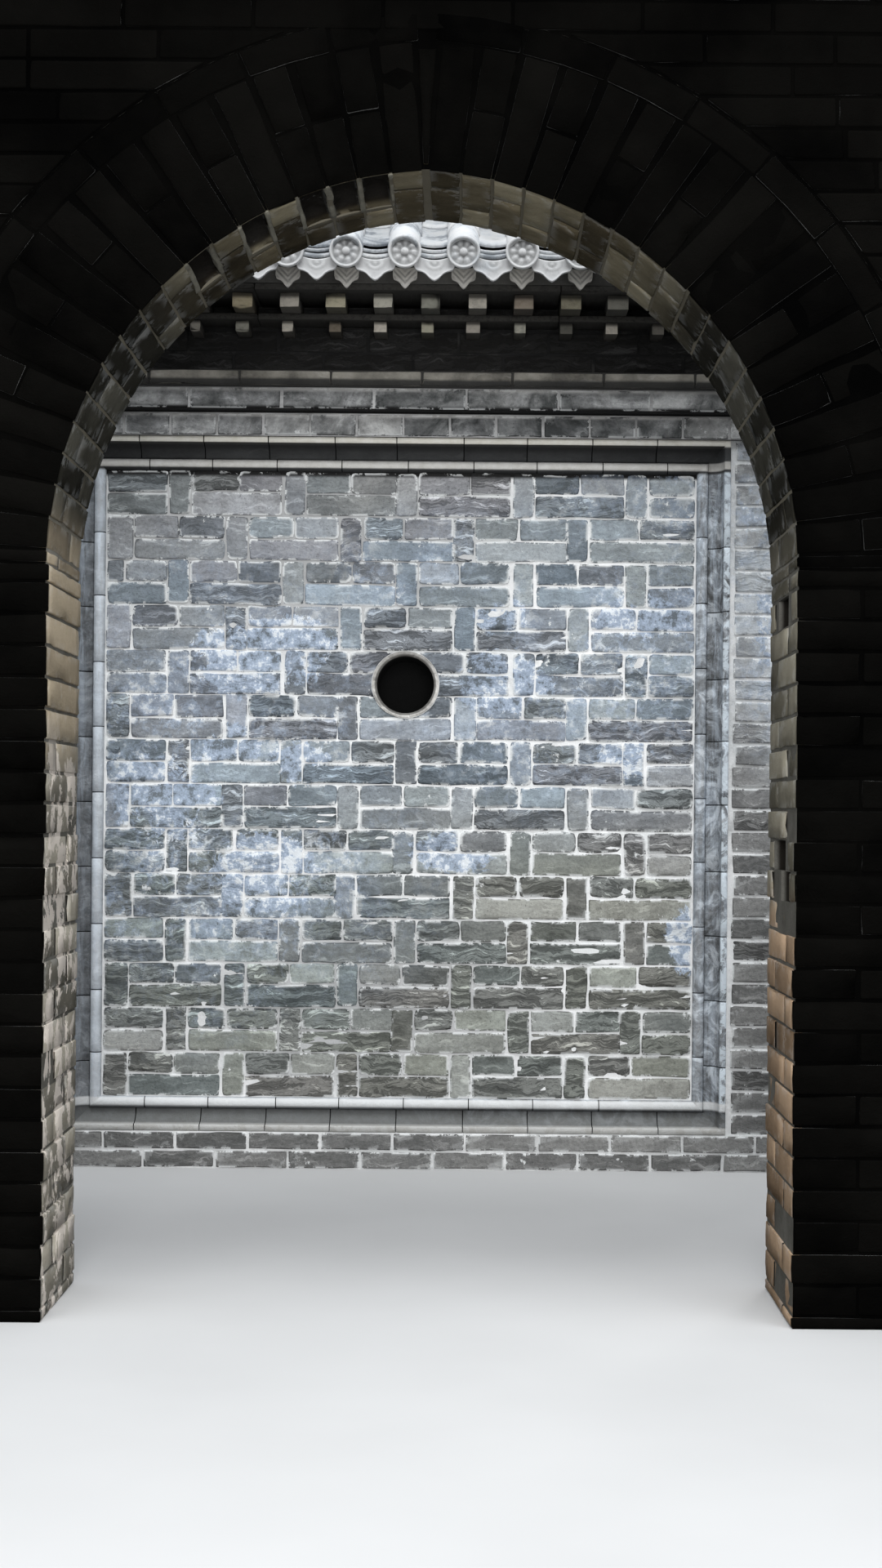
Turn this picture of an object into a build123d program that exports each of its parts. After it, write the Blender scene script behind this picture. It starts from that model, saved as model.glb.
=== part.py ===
"""Arched brick gateway with its screen wall. Millimetres, Z up, X across, Y from the gate to the screen wall.

Node families: gate_... is the wall with the archway, screen_... the wall with the round opening behind it.
The origin is at the ground, on the axis of the gate, half way through the whole depth.
"""

import math
import os

from build123d import *

# Brick and wall sizes
course = 76.0
wall_thick = 456.0

# Gate wall and arch
gate_open_half = 887.0
gate_spring = 1790.0
arch_offset = 48.0
ring_depth = 300.0
cap_depth = 70.0
gate_half = 1700.0
crown_cover = 26.0
gate_step = 40.0
gate_verge = 60.0
gate_eave_out = 130.0
gate_rows = 9
gate_ridge_h = 120.0

# Lost bricks: in the right jamb (from, to in depth, course) and in the left of the crown (brick of the ring).
# Courses start at first_course above the ground, the ring's joints ring_start above the springing.
gate_courses = 24
first_course = 30.0
jamb_pockets = ((165.0, 337.0, 22), (180.0, 373.0, 14), (97.0, 250.0, 13))
ring_pitch = 76.8
ring_start = 32.0
crown_pockets = (10, 12, 14, 15, 16)
joint = 6.0
pocket_deep = 60.0
crown_deep = 45.0
crown_from = 12.0
crown_to = 290.0

# Screen wall and its panel
court = 2380.0
screen_x = -95.0
screen_half = 1510.0
panel_x = -118.0
panel_half = 1010.0
panel_bottom = 235.0
panel_top = 2376.0
panel_recess = 50.0
panel_thick = 50.0
plinth_out = 14.0

# Frame around the panel
bead_width = 40.0
hollow_width = 48.0
lip_width = 22.0
lip_out = 12.0
hollow_seat = 4.0

# Round opening
hole_x = -99.0
hole_z = 1650.0
hole_radius = 98.0
ring_width = 16.0
ring_out = 6.0
socket_depth = 330.0

# Cornice heights and how far each band stands out
band_one = (2486.0, 2563.0, 20.0)
band_gap = 7.0
band_two_top = 2645.0
band_two_out = 55.0
band_three_top = 2695.0
band_three_out = 95.0
band_three_bevel = 22.0

# Rafter ends (width, height, how far they stand out, how far the row is laid off centre) and boards
frieze_top = 2819.0
low_rafter = (42.0, 37.0, 120.0, -15.0)
board_thick = 21.0
board_out = 135.0
high_rafter = (65.0, 48.0, 230.0, -3.0)
eave_board_thick = 22.0
eave_setback = 30.0
rafter_count = 20
rafter_end_gap = 5.0

# Tiled roofs
slope = math.radians(30.0)
screen_roof_x = -104.0
screen_verge = 90.0
screen_eave_out = 300.0
screen_rows = 8
screen_ridge_h = 150.0
edge_row = 12.0
eave_lift = 58.0
gate_lift = 13.0
pan_thick = 45.0
tile_radius = 54.0
tile_sides = 8
disc_thick = 14.0
drip_seat = 14.0
drip_thick = 12.0
drip_half = 65.0
drip_drop = 102.0
drip_edge = ((1.0, 0.46), (0.87, 0.61), (0.56, 0.68), (0.30, 0.86))
small_drip_half = 40.0
small_drip_drop = 120.0
small_drip_gap = 5.0
ridge_half = 75.0
ridge_cap = 45.0
ridge_inset = 20.0

# Where the two walls stand
front_y = gate_eave_out + 2 * disc_thick
back_y = court + wall_thick + screen_eave_out + 2 * disc_thick
gate_y = -(front_y + back_y) / 2 + front_y
screen_y = gate_y + court

# Sizes that follow from the ones above
arch_radius = gate_open_half + arch_offset
outer_radius = arch_radius + ring_depth + cap_depth
gate_crown = gate_spring + math.sqrt(outer_radius**2 - arch_offset**2)
gate_top_from = gate_crown + crown_cover
gate_top = gate_top_from + 2 * course
gate_roof_half = gate_half + gate_verge
screen_roof_half = screen_half + screen_verge
eave_board_out = screen_eave_out - eave_setback
rafter_pitch = (2 * (screen_half - rafter_end_gap) - high_rafter[0]) / (rafter_count - 1)
frame_width = bead_width + hollow_width + lip_width
frame_bottom = panel_bottom - frame_width
board_z = frieze_top + low_rafter[1]
high_z = board_z + board_thick
eave_z = high_z + high_rafter[1]
core_z = eave_z + eave_board_thick
gate_corbel_top = gate_top + 2 * course


def block(x0, x1, y0, y1, z0, z1):
    """Upright block between the given coordinates."""
    body = Box(x1 - x0, y1 - y0, z1 - z0)
    return Pos((x0 + x1) / 2, (y0 + y1) / 2, (z0 + z1) / 2) * body


def along_y(edges, y, run, rise=0.0):
    """Solid from edges drawn in the upright plane Y = 0, moved to y and drawn run back and rise up."""
    face = Face(Wire(edges))
    body = Solid.extrude(face, Vector(0, run, rise))
    return Pos(0, y, 0) * body


def along_x(points, x0, x1):
    """Solid from (y, z) points, drawn from x0 to x1."""
    outline = Wire.make_polygon([(0, y, z) for y, z in points], close=True)
    body = Solid.extrude(Face(outline), Vector(x1 - x0, 0, 0))
    return Pos(x0, 0, 0) * body


def arch_point(radius, part, side):
    """Point on one arc of the arch: part 0 at the springing, 1 at the crown; side -1 left, 1 right."""
    angle = part * math.acos(arch_offset / radius)
    x = side * (radius * math.cos(angle) - arch_offset)
    return (x, 0, gate_spring + radius * math.sin(angle))


def arch_arc(radius, side, start, end):
    """Arc of the arch between two parts of its way up."""
    middle = (start + end) / 2
    return ThreePointArc(
        arch_point(radius, start, side),
        arch_point(radius, middle, side),
        arch_point(radius, end, side),
    )


def arch_band(inner, outer):
    """Band of the arch between two radii, through the whole wall."""
    edges = [
        arch_arc(outer, -1, 0, 1),
        arch_arc(outer, 1, 1, 0),
        Line(arch_point(outer, 0, 1), arch_point(inner, 0, 1)),
        arch_arc(inner, 1, 0, 1),
        arch_arc(inner, -1, 1, 0),
        Line(arch_point(inner, 0, -1), arch_point(outer, 0, -1)),
    ]
    return along_y(edges, gate_y, wall_thick)


def arch_ring():
    """Ring of bricks on edge over the opening, with the lost bricks left of the crown."""
    ring = arch_band(arch_radius, arch_radius + ring_depth)
    middle = gate_y + (crown_from + crown_to) / 2
    for number in crown_pockets:
        angle = math.degrees((ring_start + (number + 0.5) * ring_pitch) / arch_radius)
        lost = Pos(arch_radius, 0, 0) * Box(2 * crown_deep, crown_to - crown_from, ring_pitch - 2 * joint)
        ring -= Pos(arch_offset, middle, gate_spring) * Rot(0, 180 + angle, 0) * lost
    return ring


def spandrel(side):
    """Wall between the arch and the upright end of the gate, on one side."""
    radius = outer_radius
    foot = arch_point(radius, 0, side)
    crown = arch_point(radius, 1, side)
    end_low = (side * gate_half, 0, gate_spring)
    end_high = (side * gate_half, 0, gate_top_from)
    mid_high = (0, 0, gate_top_from)
    edges = [
        Line(end_low, foot),
        arch_arc(radius, side, 0, 1),
        Line(crown, mid_high),
        Line(mid_high, end_high),
        Line(end_high, end_low),
    ]
    return along_y(edges, gate_y, wall_thick)


def gate_pier(side):
    """Upright pier beside the opening."""
    x0, x1 = sorted((side * gate_open_half, side * gate_half))
    pier = block(x0, x1, gate_y, gate_y + wall_thick, 0, gate_spring)
    if side > 0:
        for y0, y1, number in jamb_pockets:
            z = first_course + number * gate_spring / gate_courses
            high = z + gate_spring / gate_courses
            x = gate_open_half
            pier -= block(x - joint, x + pocket_deep, gate_y + y0, gate_y + y1, z, high)
    return pier


def gate_corbel(number):
    """One corbel course under the coping, 1 the lower."""
    out = number * gate_step
    end = gate_half + out / 2
    z = gate_top + (number - 1) * course
    return block(-end, end, gate_y - out, gate_y + wall_thick + out, z, z + course)


def pan_slab(x, half, eave_y, ridge_y, z):
    """Sloping slab of pan tiles from the eave to the middle of the roof."""
    run = ridge_y - eave_y
    rise = abs(run) * math.tan(slope)
    outline = [(x - half, z), (x + half, z), (x + half, z + pan_thick), (x - half, z + pan_thick)]
    wire = Wire.make_polygon([(px, 0, pz) for px, pz in outline], close=True)
    body = Solid.extrude(Face(wire), Vector(0, run, rise))
    return Pos(0, eave_y, 0) * body


def half_round(x, low):
    """Upper half of a round tile's section, with few sides, as points in the plane Y = 0."""
    points = []
    for n in range(tile_sides + 1):
        angle = math.pi * n / tile_sides
        points.append((x + tile_radius * math.cos(angle), 0, low + tile_radius * math.sin(angle)))
    return points


def cover_row(x, eave_y, ridge_y, z):
    """One row of half-round cover tiles with its round end."""
    way = math.copysign(1.0, ridge_y - eave_y)
    start = eave_y - way * disc_thick
    run = ridge_y - way * ridge_half - start
    rise = abs(run) * math.tan(slope)
    low = z + pan_thick - disc_thick * math.tan(slope)
    upper = half_round(x, low)
    lower = [(px, 0, 2 * low - pz) for px, _, pz in reversed(upper[1:-1])]
    half = Face(Wire.make_polygon(upper, close=True))
    full = Face(Wire.make_polygon(upper + lower, close=True))
    row = Pos(0, start, 0) * Solid.extrude(half, Vector(0, run, rise))
    disc = Pos(0, start, 0) * Solid.extrude(full, Vector(0, -way * disc_thick, 0))
    return row + disc


def drip(x, eave_y, way, half, top, tip):
    """Pointed drip plate that hangs at the eave; its lower edge is an ogee from the shoulders to the tip."""
    edge = [(u * half, top - depth * (top - tip)) for u, depth in drip_edge]
    points = [(x - half, top), (x + half, top)] + [(x + u, pz) for u, pz in edge]
    points += [(x, tip)] + [(x - u, pz) for u, pz in reversed(edge)]
    wire = Wire.make_polygon([(px, 0, pz) for px, pz in points], close=True)
    body = Solid.extrude(Face(wire), Vector(0, -way * drip_thick, 0))
    return Pos(0, eave_y, 0) * body


def ridge(x, half, mid_y, z, height):
    """Ridge wall with a half-round cap, seated on both slopes of pans."""
    drop = ridge_half * math.tan(slope)
    top = z + height
    wall = along_x(
        [(mid_y - ridge_half, z - drop), (mid_y, z), (mid_y + ridge_half, z - drop)]
        + [(mid_y + ridge_half, top), (mid_y - ridge_half, top)],
        x - half,
        x + half,
    )
    cap = Cylinder(ridge_cap, 2 * half, rotation=(0, 90, 0))
    keep = block(x - half, x + half, mid_y - ridge_cap, mid_y + ridge_cap, top, top + ridge_cap)
    return wall + (Pos(x, mid_y, top) * cap & keep)


def roof(prefix, x, half, front, back, z, rows, ridge_height):
    """Both slopes of a tiled roof between two eave lines, with their tiles and the ridge."""
    mid = (front + back) / 2
    pitch = row_pitch(half, rows)
    rise = (mid - front) * math.tan(slope)
    spots = [x + n * pitch for n in range(-rows, rows + 1)]
    gaps = [x + (n + 0.5) * pitch for n in range(-rows, rows)]
    top = z + pan_thick
    made = {}
    drips = []
    for name, eave, way in (("front", front, 1), ("back", back, -1)):
        made[f"{prefix}_{name}_pans"] = pan_slab(x, half, eave, mid, z)
        made[f"{prefix}_{name}_covers"] = Compound([cover_row(s, eave, mid, z) for s in spots])
        drips += [drip(g, eave, way, drip_half, top - drip_seat, top - drip_drop) for g in gaps]
    made[f"{prefix}_drip_tiles"] = Compound(drips)
    made[f"{prefix}_ridge"] = ridge(x, half - ridge_inset, mid, top + rise, ridge_height)
    return made


def row_pitch(half, rows):
    """Distance between the cover rows, from the roof's half length and the rows on each side of the middle."""
    return (half - tile_radius - edge_row) / rows


def roof_core(x, half, front, back, base, eave, z):
    """Bedding under the pans: base is the flat underside, eave the eave line in front, z the pans' height there."""
    mid = (front + back) / 2
    side = z + (front - eave) * math.tan(slope)
    peak = z + (mid - eave) * math.tan(slope)
    points = [(front, base), (front, side), (mid, peak), (back, side), (back, base)]
    return along_x(points, x - half, x + half)


def wall_band(half, out, z0, z1):
    """Level band of the screen wall that stands out on all sides."""
    return block(
        screen_x - half - out,
        screen_x + half + out,
        screen_y - out,
        screen_y + wall_thick + out,
        z0,
        z1,
    )


def upper_band():
    """Top band of the cornice, bevelled along its lower edges."""
    band = wall_band(screen_half, band_three_out, band_two_top, band_three_top)
    lower = band.edges().group_by(Axis.Z)[0]
    return chamfer(lower, band_three_bevel)


def screen_pier(side):
    """Wall beside the frame, up to the cornice."""
    edge = panel_x + side * (panel_half + frame_width)
    end = screen_x + side * screen_half
    x0, x1 = sorted((edge, end))
    return block(x0, x1, screen_y, screen_y + wall_thick, frame_bottom, band_one[0])


def screen_core():
    """Wall behind the frame and the panel, with the dark socket of the round opening."""
    outer = panel_half + frame_width
    front = screen_y + panel_recess + panel_thick
    back = screen_y + wall_thick
    wall = block(panel_x - outer, panel_x + outer, front, back, frame_bottom, band_one[0])
    deep = socket_depth - panel_recess - panel_thick
    socket = Cylinder(hole_radius, deep, rotation=(90, 0, 0))
    return wall - Pos(hole_x, front + deep / 2, hole_z) * socket


def screen_panel():
    """Panel of patterned bond, with the seat of the clay ring."""
    front = screen_y + panel_recess
    wall = block(
        panel_x - panel_half, panel_x + panel_half, front, front + panel_thick, panel_bottom, panel_top
    )
    seat = Cylinder(hole_radius + ring_width, panel_thick, rotation=(90, 0, 0))
    return wall - Pos(hole_x, front + panel_thick / 2, hole_z) * seat


def moon_ring():
    """Clay ring of the round opening."""
    deep = panel_thick + ring_out
    outer = Cylinder(hole_radius + ring_width, deep, rotation=(90, 0, 0))
    inner = Cylinder(hole_radius, deep, rotation=(90, 0, 0))
    y = screen_y + panel_recess - ring_out + deep / 2
    return Pos(hole_x, y, hole_z) * (outer - inner)


def frame_section(kind):
    """Profile of the bead or the hollow moulding, as edges in (u, y): u outward from the panel."""
    face = screen_y + panel_recess
    back = face + panel_thick
    if kind == "bead":
        a = (0, face)
        b = (bead_width, face)
        top = (bead_width / 2, face - bead_width / 2)
        edges = [(a, top, b), (b, (bead_width, back)), ((bead_width, back), (0, back)), ((0, back), a)]
        return edges
    start = bead_width
    mid = bead_width + hollow_width
    end = frame_width
    front = screen_y - lip_out
    deep_y = face - hollow_seat
    sag = (start + hollow_width * 0.66, deep_y - (deep_y - front) * 0.30)
    return [
        ((start, deep_y), sag, (mid, front)),
        ((mid, front), (end, front)),
        ((end, front), (end, back)),
        ((end, back), (start, back)),
        ((start, back), (start, deep_y)),
    ]


def frame_side(kind, place):
    """One side of the bead or of the hollow moulding, mitred at both ends."""
    side = -1 if place in ("left", "bottom") else 1
    upright = place in ("left", "right")

    def at(u, y):
        if upright:
            return (panel_x + side * (panel_half + u), y, 0)
        z = panel_top + u if side > 0 else panel_bottom - u
        return (panel_x, y, z)

    edges = []
    for points in frame_section(kind):
        spots = [at(*p) for p in points]
        edges.append(ThreePointArc(*spots) if len(spots) == 3 else Line(*spots))
    face = Face(Wire(edges))
    reach = panel_half + frame_width
    if upright:
        body = Solid.extrude(face, Vector(0, 0, panel_top + frame_width))
    else:
        body = Pos(-reach, 0, 0) * Solid.extrude(face, Vector(2 * reach, 0, 0))
    return body & mitre(place)


def mitre(place):
    """Trapezoid prism that cuts one side of the frame at its corners."""
    w = frame_width
    left, right = panel_x - panel_half, panel_x + panel_half
    low, high = panel_bottom, panel_top
    shapes = {
        "left": [(left - w, low - w), (left, low), (left, high), (left - w, high + w)],
        "right": [(right, low), (right + w, low - w), (right + w, high + w), (right, high)],
        "top": [(left, high), (right, high), (right + w, high + w), (left - w, high + w)],
        "bottom": [(left - w, low - w), (right + w, low - w), (right, low), (left, low)],
    }
    wire = Wire.make_polygon([(x, 0, z) for x, z in shapes[place]], close=True)
    body = Solid.extrude(Face(wire), Vector(0, wall_thick, 0))
    return Pos(0, screen_y - wall_thick / 2, 0) * body


def both_faces(out):
    """Depth spans in front of and behind the screen wall, for pieces that stand out from it."""
    back = screen_y + wall_thick
    return ((screen_y - out, screen_y), (back, back + out))


def rafter_ends(row, z):
    """Row of rafter ends on both faces."""
    width, height, out, shift = row
    ends = []
    for n in range(rafter_count):
        x = screen_x + shift + (n - (rafter_count - 1) / 2) * rafter_pitch
        for y0, y1 in both_faces(out):
            ends.append(block(x - width / 2, x + width / 2, y0, y1, z, z + height))
    return Compound(ends)


def eave_boards(out, z, thick):
    """Boards on the rafter ends of both faces."""
    x0, x1 = screen_x - screen_half, screen_x + screen_half
    return Compound([block(x0, x1, y0, y1, z, z + thick) for y0, y1 in both_faces(out)])


def lower_drips(z):
    """Small drip row of the lower tile layer, under the round tile ends."""
    tip = z + pan_thick - small_drip_drop
    made = []
    for n in range(-screen_rows, screen_rows + 1):
        x = screen_roof_x + n * row_pitch(screen_roof_half, screen_rows)
        back = screen_y + wall_thick + eave_board_out
        made.append(drip(x, screen_y - eave_board_out, 1, small_drip_half, z - small_drip_gap, tip))
        made.append(drip(x, back, -1, small_drip_half, z - small_drip_gap, tip))
    return Compound(made)


def gate_nodes():
    """The wall with the archway."""
    made = {
        "gate_left_pier": gate_pier(-1),
        "gate_right_pier": gate_pier(1),
        "gate_arch_ring": arch_ring(),
        "gate_arch_cap": arch_band(arch_radius + ring_depth, outer_radius),
        "gate_left_spandrel": spandrel(-1),
        "gate_right_spandrel": spandrel(1),
        "gate_top_wall": block(-gate_half, gate_half, gate_y, gate_y + wall_thick, gate_top_from, gate_top),
        "gate_corbels": gate_corbel(1) + gate_corbel(2),
    }
    front = gate_y - gate_eave_out
    back = gate_y + wall_thick + gate_eave_out
    inset = gate_eave_out - 2 * gate_step
    z = gate_corbel_top + gate_lift
    made["gate_roof_core"] = roof_core(
        0, gate_half + gate_step, front + inset, back - inset, gate_corbel_top, front, z
    )
    made.update(roof("gate", 0, gate_roof_half, front, back, z, gate_rows, gate_ridge_h))
    return made


def screen_nodes():
    """The wall with the round opening."""
    gap_top = band_one[1] + band_gap
    made = {
        "screen_plinth": wall_band(screen_half, plinth_out, 0, frame_bottom),
        "screen_core": screen_core(),
        "screen_left_pier": screen_pier(-1),
        "screen_right_pier": screen_pier(1),
        "screen_panel": screen_panel(),
        "moon_ring": moon_ring(),
        "cornice_lower_band": wall_band(screen_half, band_one[2], band_one[0], band_one[1])
        + wall_band(screen_half, 0, band_one[1], gap_top),
        "cornice_middle_band": wall_band(screen_half, band_two_out, gap_top, band_two_top),
        "cornice_upper_band": upper_band(),
        "frieze_wall": wall_band(screen_half, 0, band_three_top, core_z),
    }
    for place in ("left", "right", "top", "bottom"):
        made[f"frame_bead_{place}"] = frame_side("bead", place)
        made[f"frame_moulding_{place}"] = frame_side("moulding", place)
    made["lower_rafter_ends"] = rafter_ends(low_rafter, frieze_top)
    made["rafter_boards"] = eave_boards(board_out, board_z, board_thick)
    made["upper_rafter_ends"] = rafter_ends(high_rafter, high_z)
    made["eave_boards"] = eave_boards(eave_board_out, eave_z, eave_board_thick)
    front = screen_y - screen_eave_out
    back = screen_y + wall_thick + screen_eave_out
    inset = screen_eave_out - eave_board_out
    z = core_z + eave_lift
    made["screen_roof_core"] = roof_core(
        screen_x, screen_half + plinth_out, front + inset, back - inset, core_z, front, z
    )
    made["screen_lower_drips"] = lower_drips(z)
    made.update(
        roof("screen", screen_roof_x, screen_roof_half, front, back, z, screen_rows, screen_ridge_h)
    )
    return made


def main():
    """Build every node and write its file."""
    os.makedirs("parts", exist_ok=True)
    made = gate_nodes()
    made.update(screen_nodes())
    for name, shape in made.items():
        export_step(shape, f"parts/{name}.step")
    print("gate face", gate_y, "screen face", screen_y, "nodes", len(made))


main()
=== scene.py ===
"""Looks of the arched brick gateway and its screen wall: single bricks, tiles, mouldings, wood, light, camera.

Lengths are in millimetres until a mesh is made. X runs across, Y from the gate to the screen wall, Z up.
"""

import functools
import itertools
import math

import bpy
import numpy as np
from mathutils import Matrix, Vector


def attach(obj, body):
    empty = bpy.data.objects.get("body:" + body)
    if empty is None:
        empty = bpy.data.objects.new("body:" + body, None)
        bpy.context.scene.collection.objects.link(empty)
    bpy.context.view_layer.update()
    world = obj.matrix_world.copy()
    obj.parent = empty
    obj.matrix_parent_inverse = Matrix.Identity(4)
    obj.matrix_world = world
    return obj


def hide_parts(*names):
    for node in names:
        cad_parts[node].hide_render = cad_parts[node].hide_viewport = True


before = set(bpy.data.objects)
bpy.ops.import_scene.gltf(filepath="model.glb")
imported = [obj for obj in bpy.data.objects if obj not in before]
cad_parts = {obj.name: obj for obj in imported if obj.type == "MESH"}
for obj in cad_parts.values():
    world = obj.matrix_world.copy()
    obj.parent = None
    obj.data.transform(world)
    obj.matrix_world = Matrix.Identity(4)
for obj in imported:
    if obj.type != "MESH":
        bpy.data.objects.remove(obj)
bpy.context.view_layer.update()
rng = np.random.default_rng(20)

MM = 0.001

# Gate, as in the part
GATE_Y = -1503.0
THICK = 456.0
OPEN_HALF = 887.0
SPRING = 1790.0
ARCH_OFFSET = 48.0
ARCH_R = 935.0
RING = 300.0
CAP = 70.0
OUTER_R = ARCH_R + RING + CAP
GATE_HALF = 1700.0
GATE_CROWN = SPRING + math.sqrt(OUTER_R**2 - ARCH_OFFSET**2)
GATE_TOP = GATE_CROWN + 26.0 + 152.0
CORBEL = 76.0
GATE_COURSES = 24
GATE_COURSE = SPRING / GATE_COURSES
FIRST_COURSE = 30.0
RING_PITCH = 76.8
RING_START = 32.0
BAND_BRICKS = 9
CROWN_LOST = (10, 12, 14, 15, 16)
JAMB_LOST = ((165.0, 337.0, 22), (180.0, 373.0, 14), (97.0, 250.0, 13))

# Screen wall, as in the part
SCREEN_Y = 877.0
SCREEN_X = -95.0
SCREEN_HALF = 1510.0
PANEL_X = -118.0
PANEL_HALF = 1010.0
PANEL_LOW = 235.0
PANEL_HIGH = 2376.0
PANEL_FACE = SCREEN_Y + 50.0
FRAME_W = 110.0
BEAD = 40.0
WALL_LOW = PANEL_LOW - FRAME_W
WALL_HIGH = 2486.0
BEVEL = 22.0
LOWER_BAND_TOP = 2563.0
MIDDLE_BAND = 2570.0
UPPER_BAND = 2645.0
LOWER_OUT, MIDDLE_OUT, UPPER_OUT = 20.0, 55.0, 95.0
FRIEZE = 2695.0
LOWER_RAFTERS = 2819.0
RAFTER_BOARD = 2856.0
UPPER_RAFTERS = 2877.0
EAVE_BOARD = 2925.0
ROOF_FOOT = 2947.0
PANEL_ROWS = 14
PANEL_PITCH = 391.0
UPRIGHT_END = 74.0
EVEN_START, ODD_START = -877.0, -1072.0
WALL_ROWS = 32
HOLE_X = -99.0
HOLE_Z = 1650.0
HOLE_R = 98.0
RING_R = 114.0
CLAY_PARTS = 7

# Bricks
LONG = 300.0
SHORT = 147.0
MOULDED = 221.0
JOINT = 6.0
PROUD = 4.0
SKIRT = 12.0

# Roofs
ROOF_X = -104.0
SLOPE = math.radians(30.0)
TAN = math.tan(SLOPE)
RAFTERS = 20
PAN_THICK = 45.0
TILE_R = 54.0
RIDGE_HALF = 75.0
RIDGE_CAP = 205.0
GATE_PAN = GATE_TOP + 2 * CORBEL + 13.0
SCREEN_PAN = ROOF_FOOT + 58.0
LOWER_TIPS = SCREEN_PAN + PAN_THICK - 120.0


# ---------------------------------------------------------------- meshes


class Batch:
    """Collects many small pieces of quads into one mesh, with a tone and a rim value at each point."""

    def __init__(self):
        self.points = []
        self.faces = []
        self.tones = []
        self.rims = []
        self.total = 0

    def add(self, points, faces, tone, rim=None, flip=False):
        """Add points and quads; tone is one number, rim one number a point."""
        if flip:
            faces = faces[:, ::-1]
        self.points.append(points)
        self.faces.append(faces + self.total)
        self.tones.append(np.full(len(points), tone))
        self.rims.append(np.zeros(len(points)) if rim is None else rim)
        self.total += len(points)

    def build(self, name, kind, slot, *replaces):
        """Make the object, put it on the root body and give it its kind of material."""
        points = np.concatenate(self.points) * MM
        faces = np.concatenate(self.faces).astype(np.int32)
        mesh = bpy.data.meshes.new(name)
        mesh.vertices.add(len(points))
        mesh.vertices.foreach_set("co", points.ravel())
        mesh.loops.add(faces.size)
        mesh.loops.foreach_set("vertex_index", faces.ravel())
        mesh.polygons.add(len(faces))
        mesh.polygons.foreach_set("loop_start", np.arange(0, faces.size, 4, dtype=np.int32))
        mesh.update(calc_edges=True)
        mesh.polygons.foreach_set("use_smooth", np.ones(len(faces), dtype=bool))
        for key, values in (("tone", self.tones), ("rim", self.rims)):
            layer = mesh.attributes.new(key, "FLOAT", "POINT")
            layer.data.foreach_set("value", np.concatenate(values).astype(np.float32))
        mesh.validate()
        mesh.materials.append(MATERIALS[kind])
        piece = bpy.data.objects.new(name, mesh)
        bpy.context.scene.collection.objects.link(piece)
        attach(piece, "root")
        if replaces:
            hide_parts(*replaces)


def wobble(points, scale, amount):
    """Smooth random push, one number a point, different at each call."""
    waves = rng.normal(size=(4, 3)) / scale
    phase = rng.uniform(0, 2 * math.pi, 4)
    return np.sin(points @ waves.T + phase).mean(axis=1) * 1.6 * amount


@functools.lru_cache(maxsize=None)
def box_grid(counts, sides):
    """Grid places and quads of the named sides of a box with that many strips along u, v and w."""
    index = {}
    quads = []
    for sign, axis in sides.split():
        fixed = "uvw".index(axis)
        first, second = (fixed + 1) % 3, (fixed + 2) % 3
        place = [0, 0, 0]
        place[fixed] = counts[fixed] if sign == "+" else 0
        for i, j in itertools.product(range(counts[first]), range(counts[second])):
            quad = []
            for corner_i, corner_j in ((i, j), (i + 1, j), (i + 1, j + 1), (i, j + 1)):
                place[first], place[second] = corner_i, corner_j
                quad.append(index.setdefault(tuple(place), len(index)))
            quads.append(quad if sign == "+" else quad[::-1])
    return np.array(list(index)), np.array(quads)


def grid_quads(rows, columns):
    """Quads between the points of a grid."""
    corners = np.arange(rows * columns).reshape(rows, columns)[:-1, :-1].reshape(-1, 1)
    return corners + np.array([0, 1, columns + 1, columns])


def ticks(length, radius, strips, corner=0.0):
    """Places of the grid lines along one edge, with narrow strips at each end."""
    half = length / 2
    if corner > radius:
        inner = np.linspace(-half + corner, half - corner, strips - 3)
        return np.concatenate(([-half, -half + radius], inner, [half - radius, half]))
    inner = np.linspace(-half + radius, half - radius, strips - 1)
    return np.concatenate(([-half], inner, [half]))


def round_outline(flat, half, corner):
    """Round the outline of a brick face in its own plane."""
    place = np.abs(flat[:, :2])
    over = np.maximum(place - (half[:2] - corner), 0.0)
    length = np.hypot(over[:, 0], over[:, 1])
    scale = over.max(axis=1) / np.where(length > 0, length, 1.0)
    both = (over > 0).all(axis=1)
    rounded = np.minimum(place, half[:2] - corner) + over * scale[:, None]
    flat[both, :2] = (np.sign(flat[:, :2]) * rounded)[both]
    return flat


def worn_box(size, sides, strips=(5, 4, 3), radius=3.0, wear=1.0, corner=0.0, uneven=0.0):
    """Points, quads and rim values of a box with worn edges, centred on its own origin."""
    radius = min(radius, min(size) * 0.3)
    corner = min(corner, min(size[:2]) * 0.3)
    places, quads = box_grid(strips, sides)
    rounds = (corner, corner, 0.0)
    lines = [ticks(size[n], radius, strips[n], rounds[n]) for n in range(3)]
    flat = np.stack([lines[n][places[:, n]] for n in range(3)], axis=1)
    half = np.array(size) / 2
    square = flat.copy()
    if corner > radius:
        flat = round_outline(flat, half, corner)
    core = np.clip(flat, -(half - radius), half - radius)
    away = flat - core
    length = np.linalg.norm(away, axis=1)
    length[length == 0] = 1.0
    points = core + away / length[:, None] * radius
    outside = (np.abs(square) > half - radius + 1e-6).sum(axis=1)
    chips = np.maximum(0.0, wobble(flat, 22.0, 1.0) - 0.25) * np.where(outside >= 2, 5.0, 1.0)
    chips += np.abs(wobble(flat, 9.0, 0.5))
    points -= away / length[:, None] * (chips * wear)[:, None]
    near = np.sort(half - np.abs(square), axis=1)[:, 1]
    rim = np.clip(1.0 - near / 14.0, 0.0, 1.0)
    if uneven:
        points[:, 0] += wobble(square, 45.0, uneven)
        points[:, 1] += wobble(square, 45.0, uneven)
    return points, quads, rim


# ---------------------------------------------------------------- flat brickwork


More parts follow.
